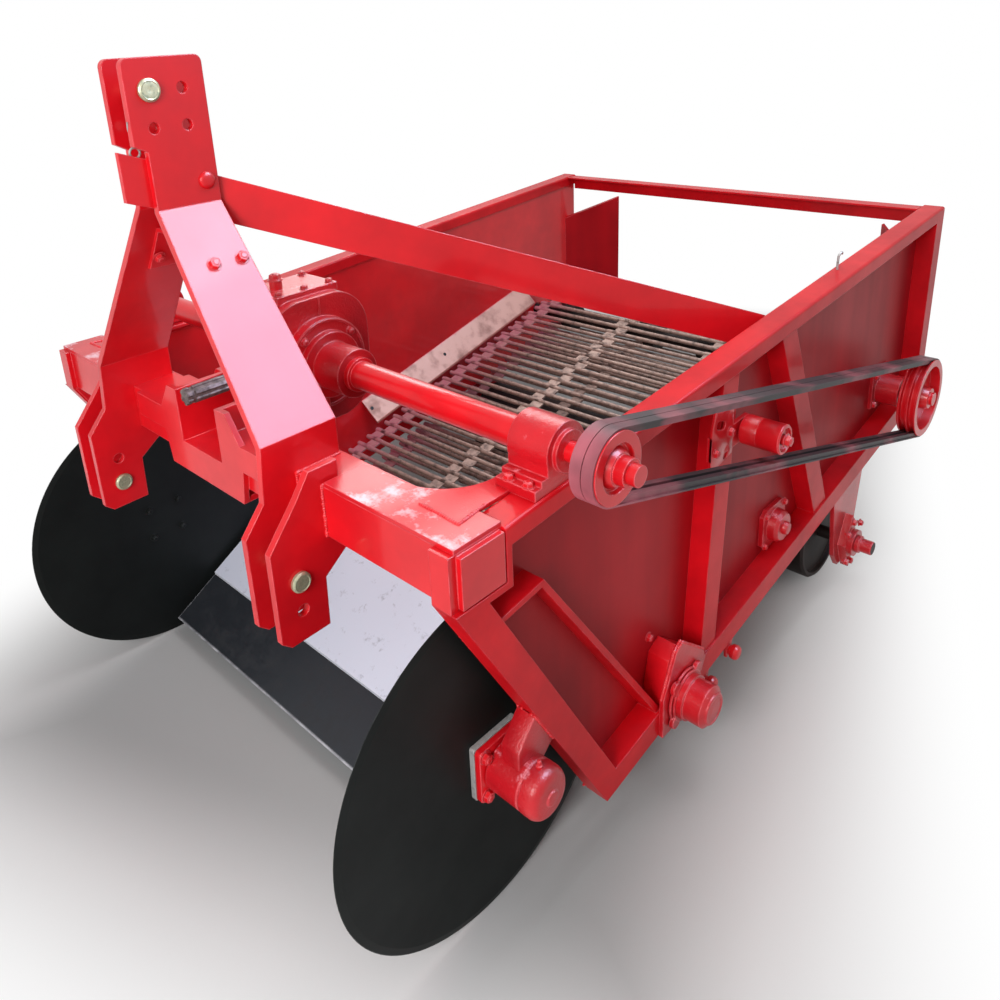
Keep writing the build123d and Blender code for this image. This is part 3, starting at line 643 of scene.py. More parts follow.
def fit(
    piece: bpy.types.Object, surface: Surface, body: str, replaces: Sequence[str], smooth: float
) -> None:
    """Finishes a piece, fits it to its body and reports it.

    Args:
        piece: The object.
        surface: Its finish.
        body: The body that it rides on.
        replaces: CAD nodes that it stands for.
        smooth: Angle in degrees up to which faces shade as one.
    """
    mesh = piece.data
    dress(mesh, surface)
    mesh.polygons.foreach_set("use_smooth", [True] * len(mesh.polygons))
    mesh.set_sharp_from_angle(angle=math.radians(smooth))
    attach(piece, body)
    if replaces:
        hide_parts(*replaces)
    LOG.info("%s: %d faces on %s", piece.name, len(mesh.polygons), body)


class NodeTool(Nodes):
    """A Geometry Nodes tool with named inputs, run once on a mesh of points or lines."""

    def __init__(self, title: str, sizes: dict[str, float]) -> None:
        """Makes the tree with its inputs and output.

        Args:
            title: The tree's name.
            sizes: Its sizes in metres, by the names of the inputs that take them.
        """
        super().__init__(bpy.data.node_groups.new(title, "GeometryNodeTree"))
        self.sizes = sizes
        self.sockets: dict[str, str] = {}
        face = self.tree.interface
        face.new_socket("Geometry", in_out="INPUT", socket_type="NodeSocketGeometry")
        for name, value in sizes.items():
            socket = face.new_socket(name, in_out="INPUT", socket_type="NodeSocketFloat")
            socket.default_value = value
            self.sockets[name] = socket.identifier
        material = face.new_socket("Finish", in_out="INPUT", socket_type="NodeSocketMaterial")
        self.sockets["Finish"] = material.identifier
        face.new_socket("Geometry", in_out="OUTPUT", socket_type="NodeSocketGeometry")
        self.inputs = self.add("NodeGroupInput").outputs

    def close(self, instances: bpy.types.Node) -> None:
        """Ends the tree: instances made real, finish set.

        Args:
            instances: The node that gives them.
        """
        real = self.add("GeometryNodeRealizeInstances", {"Geometry": instances})
        done = self.add("GeometryNodeSetMaterial", {"Geometry": real, "Material": self.inputs["Finish"]})
        self.add("NodeGroupOutput", {"Geometry": done})

    def run(self, base: bpy.types.Mesh, surface: Surface) -> bpy.types.Object:
        """Runs the tool on a base mesh.

        Args:
            base: Points or lines in metres, named as the piece.
            surface: The finish that the tree sets.

        Returns:
            An object with the result as plain mesh.
        """
        piece = stand(base.name, base)
        modifier = piece.modifiers.new(self.tree.name, "NODES")
        modifier.node_group = self.tree
        for size, value in self.sizes.items():
            modifier[self.sockets[size]] = value
        modifier[self.sockets["Finish"]] = finish(surface)
        bake(piece)
        return piece


@dataclass(frozen=True)
class Bolt:
    """One hexagon bolt head or nut: where it sits, which way it faces and its size."""

    place: Point
    facing: Point
    size: float


class BoltTool(NodeTool):
    """Sets a washer, a chamfered hexagon and a thread end on every point."""

    def __init__(self) -> None:
        """Builds the tree for a 10 mm bolt; each point's size scales it."""
        sizes = {"Corner": 0.0094, "Chamfer": 0.0082, "Head": 0.0068, "Washer": 0.0112, "End": 0.0046}
        super().__init__("hexagon_bolts", sizes)
        add, size = self.add, self.inputs
        hexagon = {"Radius Top": size["Chamfer"], "Radius Bottom": size["Corner"], "Depth": size["Head"]}
        head = add("GeometryNodeMeshCone", {"Vertices": 6, **hexagon})
        washer = add("GeometryNodeMeshCylinder", {"Vertices": 16, "Radius": size["Washer"], "Depth": 0.0018})
        end = add("GeometryNodeMeshCylinder", {"Vertices": 10, "Radius": size["End"], "Depth": 0.018})
        lifted = add("GeometryNodeTransform", {"Geometry": head, "Translation": (0, 0, 0.0016)})
        sunk = add("GeometryNodeTransform", {"Geometry": end, "Translation": (0, 0, 0.0008)})
        bolt = add("GeometryNodeJoinGeometry", {0: [lifted, washer, sunk]})
        facing = add("GeometryNodeInputNamedAttribute", {"Name": "facing"}, data_type="FLOAT_VECTOR")
        scale = add("GeometryNodeInputNamedAttribute", {"Name": "size"}, data_type="FLOAT")
        aim = add("FunctionNodeAlignRotationToVector", {"Vector": facing}, axis="Z")
        points = add("GeometryNodeMeshToPoints", {"Mesh": size["Geometry"]})
        copies = {"Points": points, "Instance": bolt, "Rotation": aim, "Scale": scale}
        self.close(add("GeometryNodeInstanceOnPoints", copies))

    def fasten(self, name: str, bolts: Sequence[Bolt], surface: Surface, body: str = "frame") -> None:
        """Makes one mesh of all the bolts of one body.

        Args:
            name: The piece's name.
            bolts: The bolts.
            surface: Their finish.
            body: The body that they ride on.
        """
        base = bpy.data.meshes.new(name)
        base.from_pydata([at(*b.place) for b in bolts], [], [])
        mark(base, "facing", "POINT", [Vector(b.facing).normalized() for b in bolts])
        mark(base, "size", "POINT", [b.size / 10 for b in bolts])
        fit(self.run(base, surface), surface, body, (), 25.0)


class WeldTool(NodeTool):
    """Lays overlapping beads along lines, as a hand-laid weld seam."""

    def __init__(self, bead_mm: float) -> None:
        """Builds the tree: a bead every few millimetres, each a little different.

        Args:
            bead_mm: Radius of a bead in millimetres.
        """
        super().__init__("weld_seam", {"Pitch": bead_mm / 1000 * 1.35, "Bead": bead_mm / 1000})
        add, size = self.add, self.inputs
        line = add("GeometryNodeMeshToCurve", {"Mesh": size["Geometry"]})
        even = add("GeometryNodeResampleCurve", {"Curve": line, "Length": size["Pitch"]}, mode="LENGTH")
        bead = add("GeometryNodeMeshIcoSphere", {"Radius": size["Bead"], "Subdivisions": 2})
        sizes = {"Min": (0.75, 0.75, 0.7), "Max": (1.3, 1.3, 1.15), "Seed": 11}
        vary = add("FunctionNodeRandomValue", sizes, data_type="FLOAT_VECTOR")
        turns = {"Min": (-0.5, -0.5, -3.0), "Max": (0.5, 0.5, 3.0), "Seed": 5}
        spin = add("FunctionNodeRandomValue", turns, data_type="FLOAT_VECTOR")
        laid = add("GeometryNodeInstanceOnPoints", {"Points": even, "Instance": bead, "Scale": vary})
        self.close(add("GeometryNodeRotateInstances", {"Instances": laid, "Rotation": spin}))

    def lay(self, name: str, seams: Sequence[Sequence[Point]], surface: Surface) -> None:
        """Lays seams on the frame.

        Args:
            name: The piece's name.
            seams: Lines of points in design millimetres.
            surface: The finish over the weld.
        """
        points: list[Vector] = []
        edges: list[tuple[int, int]] = []
        for seam in seams:
            start = len(points)
            points += [at(*p) for p in seam]
            edges += [(start + k, start + k + 1) for k in range(len(seam) - 1)]
        base = bpy.data.meshes.new(name)
        base.from_pydata(points, edges, [])
        fit(self.run(base, surface), surface, "frame", (), 60.0)


@dataclass
class Headstock:
    """Hitch pins, leg bolts and the safety ring."""

    bolts: BoltTool
    top_hole: tuple[float, float] = (-20.0, 1500.0)
    lower_y: float = -64.0
    lower_z: tuple[float, float] = (719.0, 662.0)
    leg_top: tuple[float, float] = (43.0, 1299.0)
    slope: float = 0.7535
    bolt_y: tuple[float, float] = (13.0, 69.0)
    bolt_z: float = 1204.0
    ring_middle: tuple[float, float, float] = (22.0, -52.0, 1400.0)

    def pin(
        self, name: str, ends: tuple[float, float], shank: float, head: float, y: float, z: float
    ) -> None:
        """Turns one hitch pin with a chamfered, dimpled head, and screws its nut on.

        Args:
            name: The CAD node that it replaces.
            ends: The thread's end and the head's outer face, along X.
            shank: Radius of the shank.
            head: Radius of the head.
            y: Place along the machine.
            z: Height.
        """
        start, end = ends
        stock = Stock()
        profile = [
            (start, 0), (start, shank - 2.5), (start + 2, shank), (end - 9, shank), (end - 9, head - 1),
            (end - 8.2, head), (end - 3.4, head), (end - 1, head - 2.6), (end - 0.4, head - 4),
            (end - 1.4, head - 5.5), (end - 0.5, 3.5), (end - 1.6, 0),
        ]
        stock.turn(profile, (0, y, z), Axis.ACROSS.value, 40)
        near, far, corner, bore = start + 6, start + 21.5, shank * 1.72, shank - 1
        nut = [(near, bore), (near, corner * 0.92), (near + 1.6, corner), (far - 0.5, corner), (far, bore)]
        stock.turn(nut, (0, y, z), Axis.ACROSS.value, 6)
        stock.piece(f"{name}_turned", Surface.ZINC, replaces=(name,), smooth=28)

    def leg_face(self, z: float) -> float:
        """Gives the outer face of the sloped leg at a height."""
        return self.leg_top[0] + (self.leg_top[1] - z) * self.slope

    def build(self) -> None:
        """Makes the pins, the bolts and the ring."""
        self.pin("top_link_pin", (-65, 52), 9.5, 19.5, *self.top_hole)
        self.pin("lower_pin_right", (278, 392.5), 11, 18.6, self.lower_y, self.lower_z[0])
        self.pin("lower_pin_left", (-405.5, -290.5), 11, 18.6, self.lower_y, self.lower_z[1])
        bolts, domes = [], Stock()
        dome = [(0, 0), (0, 15.5), (2.5, 15.5), (5.5, 13.5), (7, 9), (7.4, 0)]
        for side in (1, -1):
            out = (side * 0.7987, 0.0, 0.6018)
            for y in self.bolt_y:
                bolts.append(Bolt((side * self.leg_face(self.bolt_z), y, self.bolt_z), out, 12))
                bolts.append(Bolt((side * 94, y, self.bolt_z - 15), (-out[0], 0, -out[2]), 11))
            domes.turn(dome, (side * self.leg_top[0], 62, 1338), (side, 0, 0), 28)
        self.bolts.fasten("headstock_bolts", bolts, Surface.RED)
        domes.piece("brace_bolt_domes", Surface.RED, smooth=50)
        ring = Stock()
        wire, radius = 2.2, 9
        turns = (k * math.pi / 4 for k in range(8))
        hoop = [(wire * math.cos(a), radius + wire * math.sin(a)) for a in turns]
        ring.turn(hoop, self.ring_middle, Axis.ACROSS.value, 28)
        x, y, z = self.ring_middle
        tail = ((0, 0, radius), (3, -4, 24), (8, -8, 40), (14, -10, 52))
        ring.round_bar([(x + a, y + b, z + c) for a, b, c in tail], 2.0, 8)
        ring.piece("safety_ring", Surface.CUT, smooth=60)


@dataclass
class Drive:
    """Gearcase fasteners, the splined input shaft and the belt idler."""

    bolts: BoltTool
    shaft: tuple[float, float] = (253.0, 935.0)
    cover: tuple[float, float, float, float] = (-72.0, 24.0, 190.0, 316.0)
    cover_z: float = 1085.0
    spline_r: tuple[float, float] = (17.5, 14.3)
    idler: tuple[float, float] = (830.0, 756.0)
    strip_x: float = 700.5
    foot_z: float = 893.0

    def round_row(self, x: float, radius: float, size: float, start: float) -> list[Bolt]:
        """Sets four bolts in a circle about the cross shaft, facing along X away from the middle.

        Args:
            x: The face that they sit on.
            radius: Radius of the circle.
            size: The bolts' size.
            start: Angle of the first in radians.

        Returns:
            The bolts.
        """
        turns = (start + math.pi / 2 * k for k in range(4))
        y, z = self.shaft
        way = (math.copysign(1, x), 0, 0)
        return [Bolt((x, y + radius * math.cos(t), z + radius * math.sin(t)), way, size) for t in turns]

    def gearcase(self) -> None:
        """Bolts the cover and the flanges, and adds the mould's seams and the black input seal, which also
        stands in as painted shade for the dark hollow of the snout.
        """
        x0, x1, y0, y1 = self.cover
        tops = [(x, y) for y in (y0, y1, (y0 + y1) / 2) for x in (x0, x1)]
        bolts = [Bolt((x, y, self.cover_z), Axis.UP.value, 8.5) for x, y in tops]
        bolts.append(Bolt((-20, 215, 1106), Axis.UP.value, 14))
        bolts += self.round_row(x=82, radius=82, size=9.5, start=0.72)
        bolts += self.round_row(x=-126, radius=61, size=8, start=0.79)
        self.bolts.fasten("gearcase_bolts", bolts, Surface.CAST)
        seam = Stock()
        # The parting line that the mould left down the +X face
        seam.round_bar([(60.5, 260, 1071), (61, 259, 1056), (61, 258, 1036)], 2.2, 8)
        for x in (55.5, 82.0):
            ring = [(x - 0.5, 94.5), (x + 1.3, 94.0), (x + 1.3, 88.5), (x - 0.5, 88.0)]
            seam.turn(ring, (0, *self.shaft), Axis.ACROSS.value, 64)
        seam.piece("gearcase_seams", Surface.CAST, smooth=50)
        # A black seal lip round the input shaft at the snout's face; its black also stands in as painted
        # shade for the dark hollow there
        seal_and_shade = Stock()
        lip = [(109, 22), (109, 38), (111, 42), (114.5, 42), (114.5, 22)]
        seal_and_shade.turn(lip, (0, 0, self.shaft[1]), Axis.ALONG.value, 40)
        seal_and_shade.piece("input_seal", Surface.BLACK, smooth=40)

    def input_shaft(self) -> None:
        """Cuts six splines with a locking groove near the tip."""
        tooth, root = self.spline_r
        height = self.shaft[1]
        half = [(0.2, tooth), (0.25, tooth - 0.6), (0.33, root)]
        flanks = [(-turn, radius) for turn, radius in half[::-1]] + half
        turned = [(k * math.pi / 3 + turn, radius) for k in range(6) for turn, radius in flanks]
        stock = Stock()
        for start, end in ((-28.5, -19.0), (-11.5, 62.0)):
            outline = [(radius * math.sin(t), start, height + radius * math.cos(t)) for t, radius in turned]
            stock.prism(outline, (0, end - start, 0))
        core = root - 0.2
        tip = [(-30, 0), (-30, 10), (-28.4, 13), (-27, core)]
        stock.turn([*tip, (62, core), (68, tooth), (175, tooth), (175, 0)], (0, 0, height), Axis.ALONG.value)
        stock.piece("splined_input_shaft", Surface.TURNED, "input_shaft", ("input_shaft",), smooth=30)

    def belt_side(self) -> None:
        """Turns the idler sleeve, cuts the slotted strip behind it and bolts the bearing feet."""
        sleeve = Stock()
        profile = [
            (710, 12), (710, 29.5), (712.5, 32), (745, 32), (746.5, 31.2), (748, 32), (793.5, 32),
            (796, 29.5), (796, 25.5), (790, 24.5), (790, 12),
        ]
        sleeve.turn(profile, (0, *self.idler), Axis.ACROSS.value, 56)
        sleeve.piece("belt_idler_turned", Surface.RED, "belt_idler", ("belt_idler",), smooth=30)
        strip = Stock()
        tall = [(700, 703), (786, 718), (786, 845), (716, 845), (700, 790)]
        outlines = (tall, self.slot_hole(735, 797, 9, 20, -20), self.slot_hole(760, 728, 8, 16, 70))
        outline, *slots = [[(self.strip_x, y, z) for y, z in places] for places in outlines]
        strip.plate(outline, slots, (5.5, 0, 0))
        strip.piece("idler_slotted_strip", Surface.RED, smooth=30, bevel=1.2)
        faces = (((797.5, *self.idler), 13), ((706, 772, 770), 11), ((706, 716, 742), 10))
        bolts = [Bolt(place, Axis.ACROSS.value, size) for place, size in faces]
        feet = [(side * x, self.shaft[0] + off) for side in (1, -1) for x in (634, 674) for off in (-70, 70)]
        bolts += [Bolt((x, y, self.foot_z), Axis.UP.value, 10) for x, y in feet]
        self.bolts.fasten("drive_side_bolts", bolts, Surface.RED)

    def slot_hole(self, y: float, z: float, radius: float, reach: float, tilt: float) -> list[Point]:
        """Gives the outline of a long hole: half circles about two centres.

        Args:
            y: Its middle, along the machine.
            z: Its middle's height.
            radius: Half its width.
            reach: How far apart the two centres are.
            tilt: Its tilt in degrees.

        Returns:
            The outline's (y, z) points.
        """
        outline = []
        c, s = math.cos(math.radians(tilt)), math.sin(math.radians(tilt))
        for end in (1, -1):
            for k in range(7):
                turn = (k / 6 - 0.5) * math.pi + (0 if end > 0 else math.pi)
                u, v = end * reach / 2 + radius * math.cos(turn), radius * math.sin(turn)
                outline.append((y + u * c - v * s, z + u * s + v * c))
        return outline

    def build(self) -> None:
        """Makes every part of the drive."""
        self.gearcase()
        self.input_shaft()
        self.belt_side()


@dataclass
class SideParts:
    """Parts that both sides of the machine have, mirrored about its middle."""

    bolts: BoltTool
    side: int

    @property
    def word(self) -> str:
        """Names the side."""
        return "right" if self.side > 0 else "left"

    @property
    def out(self) -> Point:
        """Gives the way outwards."""
        return (self.side, 0.0, 0.0)

    def there(self, x: float, y: float, z: float) -> Point:
        """Gives the place on this side that matches one on the right."""
        return (self.side * x, y, z)


@dataclass
class DiscGang(SideParts):
    """A disc's flange plates and axle, and its hub housing, on one side."""

    y: float = 139.0
    z: float = 350.0
    plate_half: float = 56.0
    bolt_off: float = 42.0
    hub_r: float = 47.5
    nose_foot: tuple[float, float] = (-12.0, 775.0)
    nose_slope: float = 0.5727

    def square(self, x0: float, x1: float, half: float, cut: float) -> tuple[list[Point], Point]:
        """Gives a square plate with clipped corners.

        Args:
            x0: Its inner face.
            x1: Its outer face.
            half: Half its width.
            cut: How much is clipped off each corner.

        Returns:
            Its outline and its sweep.
        """
        corners = [(-half, -half + cut), (-half + cut, -half), (half - cut, -half), (half, -half + cut)]
        corners += [(-a, -b) for a, b in corners]
        return [self.there(x0, self.y + a, self.z + b) for a, b in corners], self.there(x1 - x0, 0, 0)

    def flange(self) -> None:
        """Bolts the two square plates to the disc; the axle turns with them."""
        body = f"disc_{self.word}"
        spacer = Stock()
        spacer.prism(*self.square(609, 620, self.plate_half, 3))
        spacer.piece(f"disc_spacer_{self.word}", Surface.CUT, body, smooth=20, bevel=0.8)
        plate = Stock()
        plate.prism(*self.square(620.4, 633, self.plate_half - 1, 5))
        axle = [(632, 0), (632, 27), (634, 27), (634, 20), (728, 20), (730, 18), (730, 0)]
        plate.turn(axle, (0, self.y, self.z), self.out, 40)
        node = f"disc_flange_{self.word}"
        plate.piece(f"{node}_plate", Surface.RED, body, (node,), smooth=30, bevel=1.2)
        off = self.bolt_off
        places = [(self.y + a, self.z + b) for a in (off, -off) for b in (off, -off)]
        heads = [Bolt(self.there(633, y, z), self.out, 12) for y, z in places]
        self.bolts.fasten(f"disc_bolts_{self.word}", heads, Surface.RED, body)
        nuts = [Bolt(self.there(603, y, z), (-self.side, 0, 0), 10) for y, z in places]
        self.bolts.fasten(f"disc_nuts_{self.word}", nuts, Surface.BLACK, body)

    def hub(self) -> None:
        """Turns the housing with its rounded cap, and welds its arm to the frame."""
        bore, radius = 22.0, self.hub_r
        profile = [
            (635, bore), (635, radius - 2), (637, radius), (704, radius), (705.5, radius - 1.6),
            (707.5, radius - 1.6), (709, radius + 0.6), (727, radius + 0.6), (733, radius - 1),
            (738, radius - 4), (742, radius - 9), (744, radius - 16), (744.8, 15), (747, 14), (748, 11),
            (748, 0), (732, 0), (732, bore),
        ]
        housing = Stock()
        housing.turn(profile, (0, self.y, self.z), self.out, 64)
        housing.piece(f"hub_housing_{self.word}", Surface.CAST, "frame", (f"disc_housing_{self.word}",), 35)
        arm = Stock()
        nose = [(self.nose_line(z) - 1, z) for z in (475, 395)]
        outline = [(114, 372), (114, 425), *nose, (174, 368)]
        arm.prism([self.there(655, y, z) for y, z in outline], self.there(40, 0, 0))
        arm.piece(f"hub_arm_{self.word}", Surface.CAST, smooth=30, bevel=3.0)
        nipple = Stock()
        tip = [(-2, 0), (-2, 6), (5, 6), (5.5, 3.4), (10, 3.0), (11, 4.2), (13.5, 4.2), (15, 2.6), (15, 0)]
        nipple.turn(tip, self.there(718, self.y, self.z + radius), Axis.UP.value, 12)
        nipple.piece(f"hub_grease_nipple_{self.word}", Surface.RED, smooth=35)

    def nose_line(self, z: float) -> float:
        """Gives where the sloped nose member's lower face lies at a height."""
        return self.nose_foot[0] + (self.nose_foot[1] - z) * self.nose_slope

    def build(self) -> None:
        """Makes both halves of the gang."""
        self.flange()
        self.hub()


@dataclass
class Bearings(SideParts):
    """Fasteners and caps of the bearings along one side of the frame."""

    front: tuple[float, float] = FRONT_ROLLER
    middle: tuple[float, float] = (1125.0, 366.0)
    rear: tuple[float, float] = REAR_ROLLER
    drum: tuple[float, float] = (1520.0, 140.0)
    lug_r: float = 60.0

    def lugs(self, x: float, bearing: tuple[float, float]) -> list[Point]:
        """Gives the places of four lugs round a bearing.

        Args:
            x: The face that they sit on.
            bearing: The bearing's middle.

        Returns:
            The lugs' middles.
        """
        y, z = bearing
        turns = (math.radians(a) for a in (45, 135, 225, 315))
        return [self.there(x, y + self.lug_r * math.cos(t), z + self.lug_r * math.sin(t)) for t in turns]

    def rings(self) -> None:
        """Turns the lugged rings and the stepped cap of the front bearing."""
        stock, centre = Stock(), (0, *self.front)
        for x0, x1, radius in ((712, 717, self.lug_r), (718.5, 723, self.lug_r - 4)):
            rim = radius - 1
            ring = [(x0, 44), (x0, rim), (x0 + 1, radius), (x1 - 1, radius), (x1, rim), (x1, 44)]
            stock.turn(ring, centre, self.out, 56)
        for place in self.lugs(712, self.front):
            stock.turn([(0, 0), (0, 14), (1, 15), (9, 15), (10, 14), (10, 0)], place, self.out, 20)
        cap = [(770, 0), (770, 41), (774, 40), (775, 30), (777, 29), (778, 16), (782, 15), (783.5, 12)]
        stock.turn([*cap, (783.5, 0)], centre, self.out)
        stock.piece(f"front_bearing_rings_{self.word}", Surface.CAST, smooth=35)

    def shaft_ends(self) -> None:
        """Turns the steps of the front and middle caps, and the end of the drum's shaft."""
        steps = Stock()
        step = [(778, 26), (778, 36), (782, 35), (783.6, 33), (783.6, 28), (781, 26.5)]
        steps.turn(step, (0, *self.front), self.out)
        cap = [(687, 0), (687, 17), (695, 16.5), (699, 14), (700.5, 9), (700.5, 0)]
        steps.turn(cap, (0, *self.middle), self.out, 32)
        steps.piece(f"bearing_cap_steps_{self.word}", Surface.CAST, smooth=35)
        shaft = Stock()
        tip = [(735, 0), (735, 25), (745, 25), (747, 23), (747, 19.5), (776, 19.5), (777.8, 18), (777.8, 0)]
        shaft.turn(tip, (0, *self.drum), self.out, 40)
        shaft.piece(f"drum_shaft_end_{self.word}", Surface.CAST, "rear_drum", smooth=35)

    def seat(self) -> None:
        """Cuts the front bearing's seat, and the two lugs with knobs under the bottom rail."""
        stock = Stock()
        outline = [(562, 190), (640, 190), (690, 250), (690, 275), (612, 338), (577, 320), (560, 245)]
        stock.prism([self.there(650.5, y, z) for y, z in outline], self.there(49, 0, 0))
        knob = [(0, 0), (0, 12), (6, 12), (7, 17), (18, 18), (24, 15), (26, 9), (26, 0)]
        for y, z in ((868, 206), (759, 188)):
            lug = [(y - 20, z + 8), (y + 20, z + 14), (y + 12, z - 62), (y - 10, z - 64)]
            stock.prism([self.there(680, a, b) for a, b in lug], self.there(8, 0, 0))
            stock.turn(knob, self.there(688, y + 1, z - 46), self.out, 20)
        stock.piece(f"front_bearing_seat_{self.word}", Surface.RED, smooth=30, bevel=1.5)

    def build(self) -> None:
        """Makes the rings, the caps, the seat and all the bolts."""
        self.rings()
        self.shaft_ends()
        self.seat()
        bolts = [Bolt(place, self.out, 10) for place in self.lugs(722, self.drum)]
        rows = (
            (self.middle, 662, 9, (-48, 48), (-42, 42)),
            (self.rear, 660, 11, (-50, 50), (-38, 50)),
            (self.drum, 718, 11, (0,), (-62, 62)),
            (self.front, 650, 10, (-45,), (139,)),
        )
        for (y, z), x, size, along, up in rows:
            bolts += [Bolt(self.there(x, y + a, z + b), self.out, size) for a in along for b in up]
        self.bolts.fasten(f"bearing_bolts_{self.word}", bolts, Surface.RED)


class WebTool(NodeTool):
    """Builds the rod web from its rods' places: a rod on each point, link plates on each edge."""

    def __init__(self) -> None:
        """Builds the tree; link plates stand in bands and step sideways from one pair of rods to the next."""
        rods = {"Rod Radius": 0.0072, "Rod Length": 1.172}
        links = {"Link Width": 0.040, "Link Step": 0.022, "Link Sheet": 0.005, "Eye Radius": 0.0084}
        super().__init__("rod_web", {**rods, **links})
        add, size = self.add, self.inputs
        # Cylinders are made upright, and rods and link eyes lie across the machine
        lain = []
        aside = (0.0, math.pi / 2, 0.0)
        for sides, radius, length in ((12, "Rod Radius", "Rod Length"), (14, "Eye Radius", "Link Width")):
            upright = {"Vertices": sides, "Radius": size[radius], "Depth": size[length]}
            bar = add("GeometryNodeMeshCylinder", upright)
            lain.append(add("GeometryNodeTransform", {"Geometry": bar, "Rotation": aside}))
        rod, eye = lain
        points = add("GeometryNodeMeshToPoints", {"Mesh": size["Geometry"]})
        # No two rods lie quite alike: up to 1.5 mm to one side, and 0.6 mm along and up or down
        reach = {"Min": (-0.0015, -0.0006, -0.0006), "Max": (0.0, 0.0006, 0.0006), "Seed": 7}
        slip = add("FunctionNodeRandomValue", reach, data_type="FLOAT_VECTOR")
        moved = add("GeometryNodeSetPosition", {"Geometry": points, "Offset": slip})
        parts = [add("GeometryNodeInstanceOnPoints", {"Points": moved, "Instance": rod})]
        middles = add("GeometryNodeMeshToPoints", {"Mesh": size["Geometry"]}, mode="EDGES")
        sheet = add("ShaderNodeCombineXYZ", {"X": size["Link Width"], "Y": 1.0, "Z": size["Link Sheet"]})
        flat = add("GeometryNodeMeshCube", {"Size": sheet})
        kinds = {name: "FLOAT_VECTOR" for name in ("lean", "reach", "head", "tail")} | {"parity": "FLOAT"}
        link = {
            name: add("GeometryNodeInputNamedAttribute", {"Name": name}, data_type=kind)
            for name, kind in kinds.items()
        }
        step = add("ShaderNodeMath", {0: link["parity"], 1: size["Link Step"]}, operation="MULTIPLY")
        for band in (-0.548, -0.190, 0.190, 0.548):
            across = add("ShaderNodeMath", {0: step, 1: band}, operation="ADD")
            off = add("ShaderNodeCombineXYZ", {"X": across})
            there = add("GeometryNodeSetPosition", {"Geometry": middles, "Offset": off})
            plates = {"Points": there, "Instance": flat, "Rotation": link["lean"], "Scale": link["reach"]}
            parts.append(add("GeometryNodeInstanceOnPoints", plates))
            for end in ("head", "tail"):
                spot = add("GeometryNodeSetPosition", {"Geometry": there, "Offset": link[end]})
                parts.append(add("GeometryNodeInstanceOnPoints", {"Points": spot, "Instance": eye}))
        self.close(add("GeometryNodeJoinGeometry", {0: parts}))


@dataclass
class RodWeb:
    """The endless web of rods round the front and rear rollers."""

    front: tuple[float, float] = FRONT_ROLLER
    rear: tuple[float, float] = REAR_ROLLER
    wrap: float = 55.0
    rods: int = 68

    def place(self, distance: float) -> Vector:
        """Gives a point on the loop, in the machine's side plane.

        Args:
            distance: How far along the loop it lies, from the top of the front roller.

        Returns:
            The point in metres.
        """
        run = math.dist(self.front, self.rear)
        turn = math.pi * self.wrap
        r = self.wrap
        if distance < run:
            u, v = distance, r
        elif distance < run + turn:
            angle = math.pi / 2 - (distance - run) / r
            u, v = run + r * math.cos(angle), r * math.sin(angle)
        elif distance < 2 * run + turn:
            u, v = 2 * run + turn - distance, -r
        else:
            angle = -math.pi / 2 - (distance - 2 * run - turn) / r
            u, v = r * math.cos(angle), r * math.sin(angle)
        tilt = math.atan2(self.rear[1] - self.front[1], self.rear[0] - self.front[0])
        c, s = math.cos(tilt), math.sin(tilt)
        return at(0, self.front[0] + u * c - v * s, self.front[1] + u * s + v * c)

    def build(self) -> None:
        """Lays the rods and links as one piece in place of the four web stretches."""
        pitch = (2 * math.dist(self.front, self.rear) + 2 * math.pi * self.wrap) / self.rods
        places = [self.place(k * pitch) for k in range(self.rods)]
        pairs = [(k, (k + 1) % self.rods) for k in range(self.rods)]
        base = bpy.data.meshes.new("rod_web_links")
        base.from_pydata(places, pairs, [])
        ways = [places[b] - places[a] for a, b in pairs]
        mark(base, "lean", "EDGE", [(math.atan2(w.z, w.y), 0.0, 0.0) for w in ways])
        mark(base, "reach", "EDGE", [(1.0, w.length, 1.0) for w in ways])
        mark(base, "head", "EDGE", [w / 2 for w in ways])
        mark(base, "tail", "EDGE", [-w / 2 for w in ways])
        mark(base, "parity", "EDGE", [0.5 if k % 2 else -0.5 for k in range(self.rods)])
        stretches = ("web_upper_run", "web_rear_turn", "web_lower_run", "web_front_turn")
        fit(WebTool().run(base, Surface.ROD), Surface.ROD, "frame", stretches, 40)


